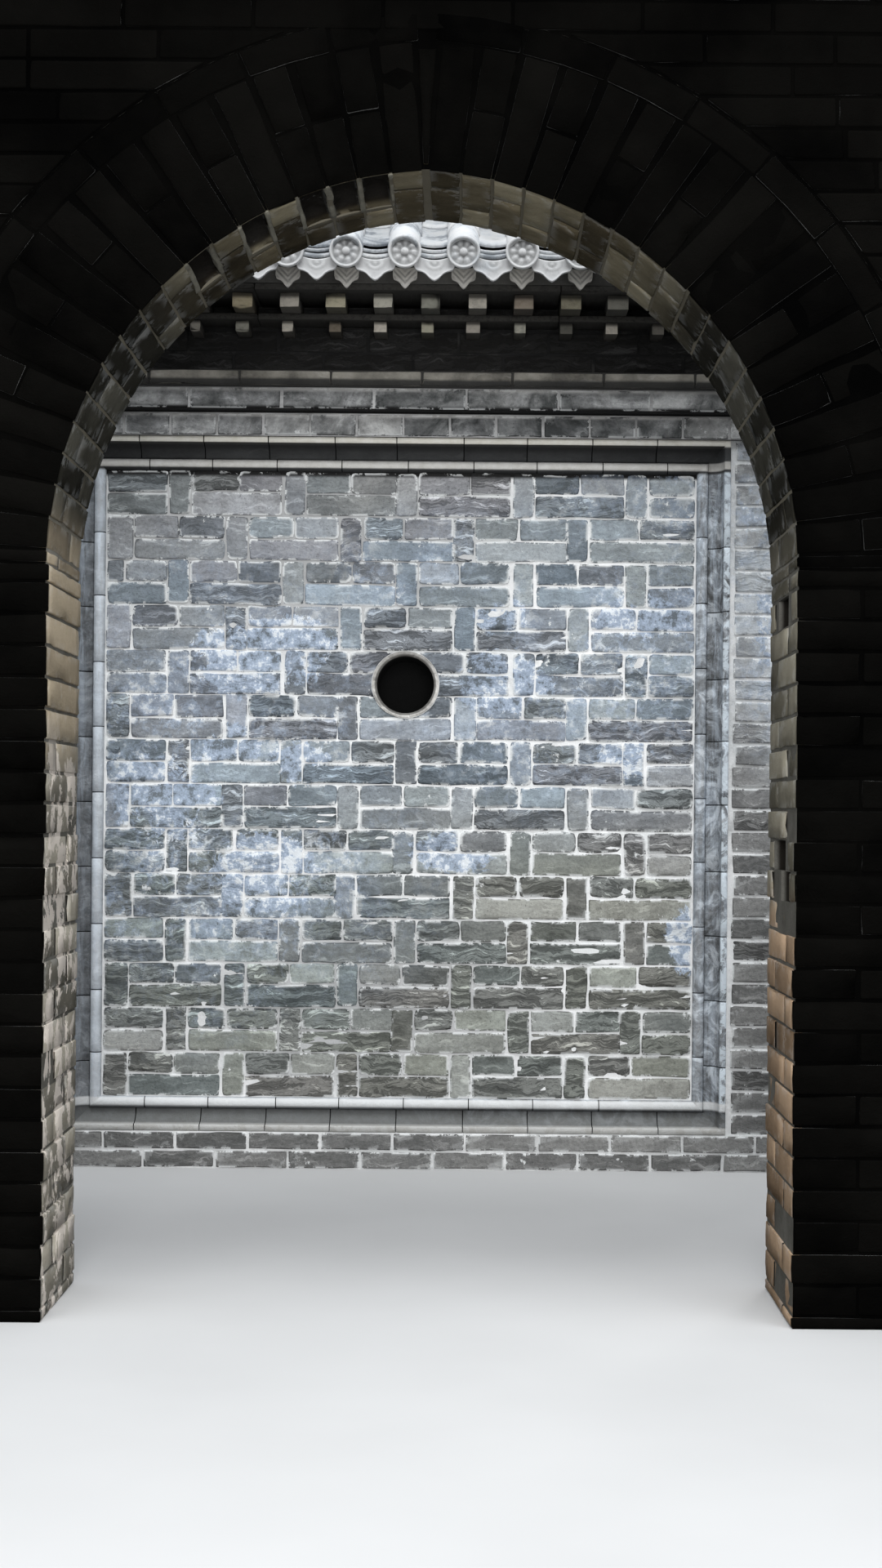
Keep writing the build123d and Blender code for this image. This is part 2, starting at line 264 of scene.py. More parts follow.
class Face:
    """A flat wall face: u along the wall, v up, w out of the wall."""

    def __init__(self, origin, facing):
        self.origin = np.array(origin, dtype=float)
        table = {
            "front": ((1, 0, 0), (0, 0, 1), (0, -1, 0)),
            "back": ((-1, 0, 0), (0, 0, 1), (0, 1, 0)),
            "right": ((0, 1, 0), (0, 0, 1), (1, 0, 0)),
            "left": ((0, -1, 0), (0, 0, 1), (-1, 0, 0)),
        }
        self.axes = np.array(table[facing], dtype=float)

    def world(self, points):
        """Points on the face as points in the row frame."""
        return self.origin + points @ self.axes


def brick(batch, face, u0, u1, v0, v1, tone, slant=(0.0, 0.0), proud=PROUD, wear=1.0):
    """One brick on a flat face; slant moves its left and right end at the top, for cuts along the arch."""
    size = (u1 - u0, v1 - v0, SKIRT + proud)
    points, quads, rim = worn_box(size, "+w +u -u +v -v", (7, 6, 2), 3.0, wear, 8.0, 1.0)
    share = points[:, 0] / size[0] + 0.5
    rise = points[:, 1] / size[1] + 0.5
    points[:, 0] += rise * (slant[0] * (1 - share) + slant[1] * share)
    turn = rng.normal(0, 0.0025)
    tilt = rng.normal(0, 0.004)
    points[:, 2] += points[:, 0] * turn + points[:, 1] * tilt
    points += np.array([(u0 + u1) / 2, (v0 + v1) / 2, proud - size[2] / 2 + rng.normal(0, 0.8)])
    batch.add(face.world(points), quads, tone, rim)


def cuts(a, b, first, long):
    """Places of the upright joints between a and b: whole bricks after a first one of the given length."""
    spots = []
    u = a + first + JOINT / 2
    while u < b - SHORT * 0.62:
        spots.append(u)
        u += long + JOINT
    if spots and b - spots[-1] > long + 40:
        spots.append((spots[-1] + b) / 2)
    return spots


def brick_row(batch, face, a, b, v0, v1, first, slant=(0.0, 0.0), long=LONG, **looks):
    """One course between a and b; the first and last brick take the slant of the span."""
    spots = [a - JOINT / 2] + cuts(a, b, first, long) + [b + JOINT / 2]
    for n in range(len(spots) - 1):
        u0 = spots[n] + JOINT / 2
        u1 = spots[n + 1] - JOINT / 2
        if u1 - u0 < 15:
            continue
        lean = (slant[0] if n == 0 else 0.0, slant[1] if n == len(spots) - 2 else 0.0)
        brick(batch, face, u0, u1, v0, v1, tones(), lean, **looks)


def tones(low=0.0, high=1.0):
    """Random tone between two limits."""
    return rng.uniform(low, high)


def corner(batch, x, y, out_x, out_y, along_x, along_y, z0, z1, tone, wear=1.0):
    """Brick at an upright corner, seen on two sides; out_x and out_y are -1 or 1, away from the wall."""
    size = (along_x + PROUD, along_y + PROUD, z1 - z0)
    sides = ("+u" if out_x > 0 else "-u") + " " + ("+v" if out_y > 0 else "-v") + " +w -w"
    points, quads, rim = worn_box(size, sides, (5, 5, 4), 3.5, wear * 1.3)
    shift = rng.normal(0, 1.0, 2)
    x += out_x * (PROUD - size[0] / 2 + shift[0])
    y += out_y * (PROUD - size[1] / 2 + shift[1])
    batch.add(points + np.array([x, y, (z0 + z1) / 2]), quads, tone, rim)


# ---------------------------------------------------------------- gate


def arch_x(z, radius):
    """Half width of the arch of that radius at height z."""
    rise = z - SPRING
    return math.sqrt(max(radius**2 - rise**2, 0.0)) - ARCH_OFFSET


def gate_courses_up():
    """Number, bottom and top of each course of the gate wall; those at the ground and the springing are cut."""
    edges = [0.0] + [FIRST_COURSE + n * GATE_COURSE for n in range(GATE_COURSES)]
    edges += list(np.linspace(SPRING, GATE_TOP, 21))
    return [(n - 1, low + JOINT / 2, high - JOINT / 2) for n, (low, high) in enumerate(zip(edges, edges[1:]))]


def lost_in_jamb(side, number, y0, y1):
    """True where a brick of the right jamb is missing."""
    return side > 0 and any(row == number and y0 < high - 20 and y1 > low + 20 for low, high, row in JAMB_LOST)


def gate_walls():
    """Bricks of both faces, the ends and the jambs of the gate."""
    inner, outer, jambs, ends = Batch(), Batch(), Batch(), Batch()
    front = Face((0, GATE_Y, 0), "front")
    back = Face((0, GATE_Y + THICK, 0), "back")
    for number, z0, z1 in gate_courses_up():
        across, deep = (SHORT, LONG) if number % 2 else (LONG, SHORT)
        for side in (-1, 1):
            end = side * GATE_HALF
            corner(ends, end, GATE_Y, side, -1, across, deep, z0, z1, tones())
            corner(ends, end, GATE_Y + THICK, side, 1, deep, THICK - deep - JOINT, z0, z1, tones())
            if number < GATE_COURSES:
                jamb(jambs, side, number, deep, across, z0, z1)
                low_front, low_back = OPEN_HALF + deep + JOINT, OPEN_HALF + across + JOINT
                slant = 0.0
            else:
                low_front = low_back = max(arch_x(z0, OUTER_R + JOINT), 0.0)
                slant = max(arch_x(z1, OUTER_R + JOINT), 0.0) - low_front
                if z1 > GATE_CROWN + JOINT:
                    low_front = low_back = slant = 0.0
            whole = low_front == slant == 0.0
            if whole and side > 0:
                continue
            for batch, face, low, high, mirror in (
                (inner, front, low_front, GATE_HALF - across - JOINT, side),
                (outer, back, low_back, GATE_HALF - deep - JOINT, -side),
            ):
                a, b = (low, high) if mirror > 0 else (-high, -low)
                if whole:
                    a, b = -high, high
                lean = (slant, 0.0) if mirror > 0 else (0.0, -slant)
                first = rng.choice([SHORT, LONG, LONG * 0.72])
                brick_row(batch, face, a, b, z0, z1, first, lean)
    inner.build("gate_inner_bricks", "gate_brick", "sooty_brick")
    outer.build("gate_outer_bricks", "gate_brick", "sooty_brick")
    jambs.build("gate_jamb_bricks", "gate_brick", "brown_brick")
    ends.build("gate_end_bricks", "gate_brick", "sooty_brick")


def jamb(batch, side, number, across, deep, z0, z1):
    """One course of a jamb, seen on the faces and in the reveal; high up at the left it shows no joint in the depth."""
    x = side * OPEN_HALF
    if side < 0 and number >= 18:
        size = (across + PROUD, THICK + 2 * PROUD, z1 - z0)
        points, quads, rim = worn_box(size, "+u +v -v +w -w", (5, 10, 4), 4.0, 1.9)
        shift = rng.normal(0, 2.0)
        points += np.array([x + PROUD + shift - size[0] / 2, GATE_Y + THICK / 2, (z0 + z1) / 2])
        batch.add(points, quads, tones(), rim)
        return
    rows = (
        (GATE_Y, -1, across, deep, 0.0, deep),
        (GATE_Y + THICK, 1, deep, THICK - deep - JOINT, deep + JOINT, THICK),
    )
    for y, out_y, along_x, along_y, y0, y1 in rows:
        shift = rng.normal(0, 2.0) if out_y < 0 else rng.normal(0, 1.5)
        if lost_in_jamb(side, number, y0, y1):
            along_y = min(along_y, 100.0 if out_y < 0 else 80.0)
        corner(batch, x - side * shift, y, -side, out_y, along_x, along_y, z0, z1, tones(), 1.8)


def polar(side, points):
    """Points (along the arc in millimetres of the soffit, radius, y) as points in the row frame."""
    angle = points[:, 0] / ARCH_R
    radius = points[:, 1]
    x = side * (radius * np.cos(angle) - ARCH_OFFSET)
    z = SPRING + radius * np.sin(angle)
    return np.stack([x, points[:, 2], z], axis=1)


def ring_brick(batch, side, t, width, r0, r1, y0, y1, sides, tone, narrow, wear, lost=False):
    """One brick of the ring, centred at t along the soffit; narrow keeps its outer end from widening."""
    size = (width, r1 - r0, y1 - y0)
    points, quads, rim = worn_box(size, sides, (8, 6, 16) if lost else (4, 6, 6), 3.0, wear)
    points[:, 0] += wobble(points, 50.0, 1.6)
    points[:, 2] += wobble(points, 60.0, 3.0)
    if lost:
        depth = points[:, 2] + size[2] / 2
        inward = np.interp(depth, [0, 16, 70, 200, 265, 300], [0.0, 0.15, 0.85, 1.0, 0.7, 0.1])
        edge = 1.0 - 0.4 * np.abs(2 * points[:, 0] / width) ** 3
        bowl = np.clip(rng.uniform(34, 42) * edge + wobble(points, 26.0, 7.0), 0.0, 43.0)
        points[:, 1] += np.where(points[:, 1] < 5 - size[1] / 2, inward * bowl, 0.0)
    share = points[:, 1] / size[1] + 0.5
    mean = r0 + share * (r1 - r0)
    points[:, 0] *= 1.0 + narrow * (ARCH_R / mean - 1.0)
    points += np.array([t, (r0 + r1) / 2, (y0 + y1) / 2])
    batch.add(polar(side, points), quads, tone, rim, flip=side < 0)


def gate_ring():
    """Voussoirs of the ring, the flat band over it and the wedge at the crown."""
    ring = Batch()
    band = Batch()
    front = GATE_Y
    back = GATE_Y + THICK
    joints = [0.0] + [RING_START + n * RING_PITCH for n in range(19)]
    for side in (-1, 1):
        for n, (a, b) in enumerate(zip(joints, joints[1:]), -1):
            t = (a + b) / 2
            width = b - a - JOINT
            lost = side < 0 and n in CROWN_LOST
            r0 = ARCH_R - 4.0 + rng.normal(0, 1.0)
            outer = ARCH_R + RING - 1
            mid = ARCH_R + SHORT
            rest = r0 + rng.normal(0, 0.8)
            if n % 2 and not lost:
                rows = [
                    (r0, outer, front - PROUD, front + SHORT, "-w -v +u -u"),
                    (rest, mid, front + SHORT + JOINT, back + PROUD, "+w -v +u -u +v"),
                    (mid + JOINT, outer, front + SHORT + JOINT, back + PROUD, "+w +u -u -v"),
                ]
            else:
                rows = [
                    (r0, mid, front - PROUD, front + LONG, "-w -v +u -u +v"),
                    (mid + JOINT, outer, front - PROUD, front + LONG, "-w +u -u -v"),
                    (rest, outer, front + LONG + JOINT, back + PROUD, "+w -v +u -u"),
                ]
            for low, high, y0, y1, sides in rows:
                push = rng.normal(0, 1.0)
                hollow = lost and low == r0
                y0, y1 = y0 + push, y1 + push
                ring_brick(ring, side, t, width, low, high, y0, y1, sides, tones(), 0.6, 1.1, hollow)
        step = math.acos(ARCH_OFFSET / ARCH_R) * ARCH_R / BAND_BRICKS
        low = ARCH_R + RING + 3
        for n in range(BAND_BRICKS):
            t = (n + 0.5) * step
            for y0, y1, sides in (
                (front - PROUD, front + SKIRT, "-w +u -u +v -v"),
                (back - SKIRT, back + PROUD, "+w +u -u +v -v"),
            ):
                ring_brick(band, side, t, step - JOINT * 0.8, low, low + CAP - 6, y0, y1, sides, tones(), 0.0, 1.0)
    key(ring)
    mortar_fins()
    ring.build("gate_ring_bricks", "gate_brick", "brown_brick")
    band.build("gate_band_bricks", "gate_brick", "brown_brick")


def mortar_fins():
    """Ragged ribs of mortar left standing between the bricks at the broken side of the crown."""
    batch = Batch()
    for n in range(10, 18):
        y0, y1 = GATE_Y + rng.uniform(2, 8), GATE_Y + rng.uniform(270, 296)
        size = (rng.uniform(12, 17), 30.0, y1 - y0)
        points, quads, rim = worn_box(size, "-v +u -u +w -w", (4, 4, 16), 2.5, 1.5)
        low = points[:, 1] < 0
        points[:, 1] += np.where(low, wobble(points, 28.0, 3.0), 0.0)
        points[:, 0] += wobble(points, 40.0, 2.5)
        points += np.array([RING_START + n * RING_PITCH, ARCH_R - 3.0 + 15.0, (y0 + y1) / 2])
        batch.add(polar(-1, points), quads, tones(), rim, flip=True)
    batch.build("gate_mortar_fins", "standing_mortar", "lime_mortar")


def key(batch):
    """Wedge of tile at the crown, between the two arcs."""
    low = SPRING + math.sqrt(ARCH_R**2 - ARCH_OFFSET**2)
    size = (44.0, THICK + 2 * PROUD, RING - 26)
    points, quads, rim = worn_box(size, "+v -v -w +u -u", (4, 6, 6), 3.5, 1.5)
    points[:, 0] *= 0.25 + 0.75 * (points[:, 2] / size[2] + 0.5)
    points += np.array([0.0, GATE_Y + THICK / 2, low + 12 + size[2] / 2])
    batch.add(points, quads, tones(), rim)


def band_rows(batch, x0, x1, y0, y1, z0, z1, rows, long, firsts, **looks):
    """Bricks around a level band, on its four upright sides; firsts are the first bricks of its rows in turn."""
    height = (z1 - z0) / rows
    for n in range(rows):
        low = z0 + n * height + 2.5
        high = z0 + (n + 1) * height - 2.5
        first = firsts[n % len(firsts)]
        sides = (
            (Face((0, y0, 0), "front"), x0, x1),
            (Face((0, y1, 0), "back"), -x1, -x0),
            (Face((x1, 0, 0), "right"), y0, y1),
            (Face((x0, 0, 0), "left"), -y1, -y0),
        )
        for face, a, b in sides:
            brick_row(batch, face, a - 2, b + 2, low, high, first, long=long, **looks)


def gate_corbels():
    """Two corbel courses under the coping."""
    batch = Batch()
    for n, (long, first) in enumerate(((LONG, SHORT), (SHORT, SHORT)), 1):
        out = 40.0 * n
        x = GATE_HALF + out / 2
        z = GATE_TOP + (n - 1) * CORBEL
        band_rows(batch, -x, x, GATE_Y - out, GATE_Y + THICK + out, z, z + CORBEL, 1, long, (first,))
    batch.build("gate_corbel_bricks", "gate_brick", "sooty_brick")


# ---------------------------------------------------------------- screen wall


def fit_to_ring(points):
    """Push the points that fall inside the clay ring out to its edge."""
    dx = points[:, 0] - HOLE_X
    dz = points[:, 2] - HOLE_Z
    away = np.hypot(dx, dz)
    inside = away < RING_R + 3
    scale = np.where(inside, (RING_R + 3) / np.maximum(away, 1e-6), 1.0)
    points[:, 0] = HOLE_X + dx * scale
    points[:, 2] = HOLE_Z + dz * scale
    return points


def panel_brick(batch, u0, u1, v0, v1):
    """One brick of the panel, cut round the clay ring where it meets it; some are spalled, more of them low down."""
    low, high = PANEL_X - PANEL_HALF + 5, PANEL_X + PANEL_HALF - 5
    u0, u1 = max(u0, low), min(u1, high)
    if u1 - u0 < 22 or u0 > high - 50 or u1 < low + 50:
        return
    u0 = low if u0 < low + 56 else u0
    u1 = high if u1 > high - 56 else u1
    if math.hypot((u0 + u1) / 2 - HOLE_X, (v0 + v1) / 2 - HOLE_Z) < RING_R - 22:
        return
    face = Face((0, PANEL_FACE, 0), "front")
    rough = rng.uniform() < np.interp(v0, [1200, 1500], [0.48, 0.26])
    proud = 5.5 if rough else 3.0
    size = (u1 - u0, v1 - v0, SKIRT + proud)
    wear = 2.0 if rough else 0.9
    points, quads, rim = worn_box(size, "+w +u -u +v -v", (10, 9, 2), 2.4, wear, rng.uniform(8, 20), 2.4)
    if rough:
        layers = wobble(points * np.array([0.25, 1.0, 0.0]), 9.0, 3.4) - 0.8
        points[:, 2] += np.where(points[:, 2] > 0, layers, 0.0)
    points[:, 2] += points[:, 0] * rng.normal(0, 0.002) + points[:, 1] * rng.normal(0, 0.005)
    shift = np.array([(u0 + u1) / 2, (v0 + v1) / 2, proud - size[2] / 2 + rng.normal(0, 0.6)])
    placed = fit_to_ring(face.world(points + shift))
    tone = rng.uniform(1.05, 1.25) if rough else tones()
    batch.add(placed, quads, tone, rim)


def panel():
    """Patterned bond in double courses: an upright brick end, then two headers over a stretcher."""
    batch = Batch()
    height = (PANEL_HIGH - PANEL_LOW) / PANEL_ROWS
    half = UPRIGHT_END / 2
    for row in range(PANEL_ROWS):
        start = EVEN_START if row % 2 == 0 else ODD_START
        for n in range(-1, 6):
            at = start + n * PANEL_PITCH
            gap = np.interp(at, [-700, 500], [1.2, 2.1]) + np.interp(row, [3, 10], [0.0, 0.4])
            top = PANEL_HIGH - row * height - gap
            low = top - height + 2 * gap
            x = at + rng.normal(0, 4.0)
            lift = rng.normal(0, 1.5)
            a = x + half + 2 * gap
            b = start + (n + 1) * PANEL_PITCH - half - 2 * gap
            split = (a + b) / 2 + rng.normal(0, 8.0)
            level = (top + low) / 2 + rng.normal(0, 2.0)
            panel_brick(batch, x - half, x + half, low + lift, top + lift)
            panel_brick(batch, a, split - gap, level + gap, top)
            panel_brick(batch, split + gap, b, level + gap, top)
            panel_brick(batch, a, b, low, level - gap)
    batch.build("screen_panel_bricks", "panel_brick", "panel_brick")


def screen_walls():
    """Plain coursed bricks of the piers, the ends and the back of the screen wall."""
    batch = Batch()
    step = (WALL_HIGH - WALL_LOW) / WALL_ROWS
    front = Face((0, SCREEN_Y, 0), "front")
    back = Face((0, SCREEN_Y + THICK, 0), "back")
    for n in range(WALL_ROWS):
        z0 = WALL_LOW + n * step + JOINT / 2
        z1 = WALL_LOW + (n + 1) * step - JOINT / 2
        along_x, along_y = (SHORT, LONG) if n % 2 else (225.0, SHORT)
        for side in (-1, 1):
            end = SCREEN_X + side * SCREEN_HALF
            corner(batch, end, SCREEN_Y, side, -1, along_x, along_y, z0, z1, tones())
            rest = THICK - along_y - JOINT
            corner(batch, end, SCREEN_Y + THICK, side, 1, LONG + SHORT - along_x, rest, z0, z1, tones())
            a = PANEL_X + side * (PANEL_HALF + FRAME_W + rng.uniform(12, 24))
            b = end - side * (along_x + JOINT)
            tone = rng.uniform(1.05, 1.2) if rng.uniform() < 0.2 else tones()
            brick(batch, front, min(a, b), max(a, b), z0, z1, tone, wear=1.5)
        inset = (LONG if n % 2 else SHORT) + JOINT
        brick_row(batch, back, inset - SCREEN_X - SCREEN_HALF, SCREEN_HALF - SCREEN_X - inset, z0, z1, LONG)
    batch.build("screen_wall_bricks", "screen_brick", "grey_brick")


def around_screen(out):
    """Sides x0, x1, y0, y1 of a band that stands out that far from the screen wall."""
    x0, x1 = SCREEN_X - SCREEN_HALF - out, SCREEN_X + SCREEN_HALF + out
    return x0, x1, SCREEN_Y - out, SCREEN_Y + THICK + out


def cornice():
    """Bricks of the cornice bands and the frieze; the upper band has a bevel below."""
    batch = Batch()
    band_rows(batch, *around_screen(LOWER_OUT), WALL_HIGH, LOWER_BAND_TOP, 1, 152.0, (90.0,))
    band_rows(batch, *around_screen(MIDDLE_OUT), MIDDLE_BAND, UPPER_BAND, 1, 306.0, (200.0,))
    batch.build("cornice_bricks", "cornice_brick", "grey_brick")
    batch = Batch()
    band_rows(batch, *around_screen(UPPER_OUT), UPPER_BAND, FRIEZE, 1, 300.0, (120.0,))
    x0, x1, y0, y1 = around_screen(UPPER_OUT + 5.0)
    for points in batch.points:
        push = np.clip(UPPER_BAND + BEVEL - points[:, 2], 0.0, BEVEL)
        points[:, 0] = np.clip(points[:, 0], x0 + push, x1 - push)
        points[:, 1] = np.clip(points[:, 1], y0 + push, y1 - push)
    batch.build("cornice_top_bricks", "top_band_brick", "grey_brick")
    batch = Batch()
    band_rows(batch, *around_screen(0.0), FRIEZE, EAVE_BOARD, 3, LONG, (LONG, SHORT))
    batch.build("frieze_bricks", "frieze_brick", "grey_brick")


def plinth():
    """Rough stones and bricks of the plinth."""
    batch = Batch()
    band_rows(batch, *around_screen(14), 0, WALL_LOW, 2, 240.0, (150.0, 260.0), wear=3.0, proud=5.0)
    batch.build("plinth_stones", "screen_brick", "grey_brick")


# ---------------------------------------------------------------- frame mouldings


def bead_profile():
    """Half-round bead as (u outward, y)."""
    r = BEAD / 2
    points = []
    for n in range(11):
        angle = math.pi * n / 10
        points.append((r - (r - 0.5) * math.cos(angle), PANEL_FACE - r * math.sin(angle) - 1.0))
    return [(0.5, PANEL_FACE + 12)] + points + [(BEAD - 0.5, PANEL_FACE + 12)]


def hollow_profile():
    """Hollow moulding and its lip as (u outward, y)."""
    start, mid, end = BEAD, FRAME_W - 22.0, FRAME_W
    deep, front = PANEL_FACE - 5.0, SCREEN_Y - 12.0
    points = [(start + 0.5, deep + 10), (start + 0.5, deep)]
    for n in range(1, 9):
        angle = n / 8 * math.pi / 2
        u = start + (mid - start) * math.sin(angle)
        y = deep + (front - deep) * (1 - math.cos(angle))
        points.append((u, y))
    points += [(mid + 1, front - 2.0), (mid + 4, front - 3.0), (end - 4, front - 3.0), (end - 0.5, front)]
    points += [(end - 0.5, SCREEN_Y + 10)]
    return points


def moulding(batch, profile, place, first):
    """One side of the frame as a row of moulded bricks, mitred at its ends."""
    side = -1 if place in ("left", "bottom") else 1
    upright = place in ("left", "right")
    low, high = (PANEL_LOW, PANEL_HIGH) if upright else (PANEL_X - PANEL_HALF, PANEL_X + PANEL_HALF)
    spots = [low]
    u = low + first
    while u < high - MOULDED * 0.45:
        spots.append(u)
        u += MOULDED + rng.normal(0, 4)
    spots.append(high)
    us, ys = np.array(profile).T
    last = len(spots) - 2
    for n in range(last + 1):
        start = spots[n] - us if n == 0 else np.full(len(us), spots[n] + 1.5)
        end = spots[n + 1] + us if n == last else np.full(len(us), spots[n + 1] - 1.5)
        push = rng.normal(0, 0.7)
        grid = []
        for share in (0.0, 0.012, 0.25, 0.5, 0.75, 0.988, 1.0):
            s = start + (end - start) * share
            sunk = (share == 0.0 and n > 0) or (share == 1.0 and n < last)
            y = ys + (2.5 if sunk else 0.0) + push
            if upright:
                x, z = PANEL_X + side * (PANEL_HALF + us), s
            else:
                x, z = s, (PANEL_HIGH + us) if side > 0 else (PANEL_LOW - us)
            grid.append(np.stack([x, y, z], axis=1))
        points = np.concatenate(grid)
        points[:, 1] += np.maximum(0.0, wobble(points, 25.0, 1.6) - 0.5)
        batch.add(points, grid_quads(len(grid), len(us)), tones(), flip=upright != (side > 0))


def frame_mouldings():
    """Beads and hollow mouldings round the panel."""
    for place in ("left", "right", "top", "bottom"):
        for kind, profile, first in (("bead", bead_profile(), 150.0), ("moulding", hollow_profile(), 120.0)):
            batch = Batch()
            moulding(batch, profile, place, first)
            batch.build(f"{kind}_{place}", f"{kind}_brick", "moulded_brick", f"frame_{kind}_{place}")


def clay_ring():
    """Clay ring of the round opening, in short curved pieces, broken at the lower right."""
    batch = Batch()
    for n in range(CLAY_PARTS):
        a0 = 2 * math.pi * n / CLAY_PARTS + 0.35
        a1 = a0 + 2 * math.pi / CLAY_PARTS - 0.02
        size = (a1 - a0) * HOLE_R, RING_R - HOLE_R - 0.5, 60.0
        points, quads, rim = worn_box(size, "+w +u -u +v -v", (9, 5, 4), 3.5, 1.6)
        angle = a0 + (points[:, 0] / size[0] + 0.5) * (a1 - a0)
        radius = (HOLE_R + RING_R) / 2 + points[:, 1]
        lost = np.exp(-(((angle - 5.45) % (2 * math.pi)) / 0.3) ** 2) * 7 * (points[:, 2] > 20)
        y = PANEL_FACE - 8 + 30 - points[:, 2] + lost
        x = HOLE_X + radius * np.cos(angle)
        z = HOLE_Z + radius * np.sin(angle)
        batch.add(np.stack([x, y, z], axis=1), quads, tones(), rim)
    batch.build("clay_ring_pieces", "clay_ring", "clay_ring")


# ---------------------------------------------------------------- wood


def wood_box(batch, x0, x1, y0, y1, z0, z1, strips=(4, 5, 4)):
    """One piece of timber with worn edges."""
    size = (x1 - x0, y1 - y0, z1 - z0)
    points, quads, rim = worn_box(size, "+u -u +v -v +w -w", strips, 2.5, 1.2)
    points += np.array([(x0 + x1) / 2, (y0 + y1) / 2, (z0 + z1) / 2])
    batch.add(points, quads, tones(), rim)


def eaves(out):
    """Front and back, each (y0, y1), of what stands out that far from the screen wall."""
    return (SCREEN_Y - out, SCREEN_Y), (SCREEN_Y + THICK, SCREEN_Y + THICK + out)


def timber():
    """Rafter ends and boards under the eaves of the screen wall."""
    rows = (
        ("lower_rafters", "lower_rafter_ends", 42.0, 120.0, LOWER_RAFTERS, RAFTER_BOARD, -15.0),
        ("upper_rafters", "upper_rafter_ends", 65.0, 230.0, UPPER_RAFTERS, EAVE_BOARD, -3.0),
    )
    pitch = (2 * (SCREEN_HALF - 5) - 65.0) / (RAFTERS - 1)
    for name, node, width, out, z0, z1, aside in rows:
        batch = Batch()
        for n in range(RAFTERS):
            x = SCREEN_X + aside + (n - (RAFTERS - 1) / 2) * pitch
            for y0, y1 in eaves(out):
                jog = rng.normal(0, 1.5, 4)
                wide = width / 2 + jog[0]
                wood_box(batch, x - wide + jog[1], x + wide + jog[1], y0 + jog[2], y1 + jog[2], z0, z1 + jog[3] * 0.4)
        batch.build(name, "weathered_wood", "weathered_wood", node)
    boards = (
        ("rafter_board_planks", "rafter_boards", 135.0, RAFTER_BOARD, UPPER_RAFTERS),
        ("eave_board_planks", "eave_boards", 270.0, EAVE_BOARD, ROOF_FOOT),
    )
    joints = np.linspace(SCREEN_X - SCREEN_HALF, SCREEN_X + SCREEN_HALF, 4)
    for name, node, out, z0, z1 in boards:
        batch = Batch()
        for y0, y1 in eaves(out):
            for a, b in zip(joints[:-1], joints[1:]):
                wood_box(batch, a + 1, b - 1, y0, y1, z0, z1, (14, 5, 4))
        batch.build(name, "dark_wood", "weathered_wood", node)


# ---------------------------------------------------------------- tiles


def shell(batch, top, bottom, tone, flip=False, dark=None):
    """Closed plate between two grids of points of the same shape; dark is a rim value at each point."""
    m, k = top.shape[:2]
    base = m * k
    flat = grid_quads(m, k)
    quads = list(np.stack([flat[:, [0, 3, 2, 1]], flat + base], axis=1).reshape(-1, 4))
    for i in range(m - 1):
        for a, turn in ((i * k, 1), (i * k + k - 1, -1)):
            quads.append([a, base + a, base + a + k, a + k][::turn])
    for j in range(k - 1):
        for a, turn in ((j, 1), (base - k + j, -1)):
            quads.append([a, a + 1, base + a + 1, base + a][::turn])
    points = np.concatenate([top.reshape(-1, 3), bottom.reshape(-1, 3)])
    batch.add(points, np.array(quads), tone, None if dark is None else np.tile(dark.ravel(), 2), flip)


class Slope:
    """One roof slope: s runs up the slope from the eave line, h is the height over the pans' top plane."""

    def __init__(self, eave_y, way, z_top):
        self.eave_y = eave_y
        self.way = way
        self.z_top = z_top

    def world(self, x, s, h):
        """Points for arrays x, s, h."""
        y = self.eave_y + self.way * (s * math.cos(SLOPE) - h * math.sin(SLOPE))
        z = self.z_top + s * math.sin(SLOPE) + h * math.cos(SLOPE)
        return np.stack([x, y, z], axis=-1)


def pan_tile(batch, slope, x, half, s0, s1, lift):
    """One dished tile between two cover rows, lifted at its lower end."""
    wide = half * (1 + rng.normal(0, 0.01))
    grid_u, grid_s = np.meshgrid(np.linspace(-1, 1, 9), np.linspace(0, 1, 4))
    lower = 1 - grid_s
    tip = rng.normal(0, 1.5) + grid_u * rng.normal(0, 1.5)
    h = -26.0 * (1 - grid_u**2) + lift * lower + tip * lower
    s = s0 + (s1 - s0) * grid_s + rng.normal(0, 1.5) * lower
    xs = x + grid_u * wide
    dirt = 0.7 * (1 - grid_u**2) * (grid_s > 0)
    shell(batch, slope.world(xs, s, h), slope.world(xs, s, h - 11.0), tones(0.0, 0.5), slope.way < 0, dirt)


def cover_tile(batch, slope, x, s0, s1):
    """One half-round cover tile, a little wider at its lower end."""
    grid_a, grid_s = np.meshgrid(np.linspace(0, math.pi, 13), [0.0, 0.03, 0.5, 1.0])
    radius = TILE_R + 1.5 - 4.0 * grid_s - np.where(grid_s == 0.0, 2.5, 0.0)
    s = s0 + (s1 - s0) * grid_s
    x = x + rng.normal(0, 1.2)
    plates = [slope.world(x - r * np.cos(grid_a), s, r * np.sin(grid_a) - 2.0) for r in (radius, radius - 12.0)]
    shell(batch, *plates, tones(), slope.way < 0)


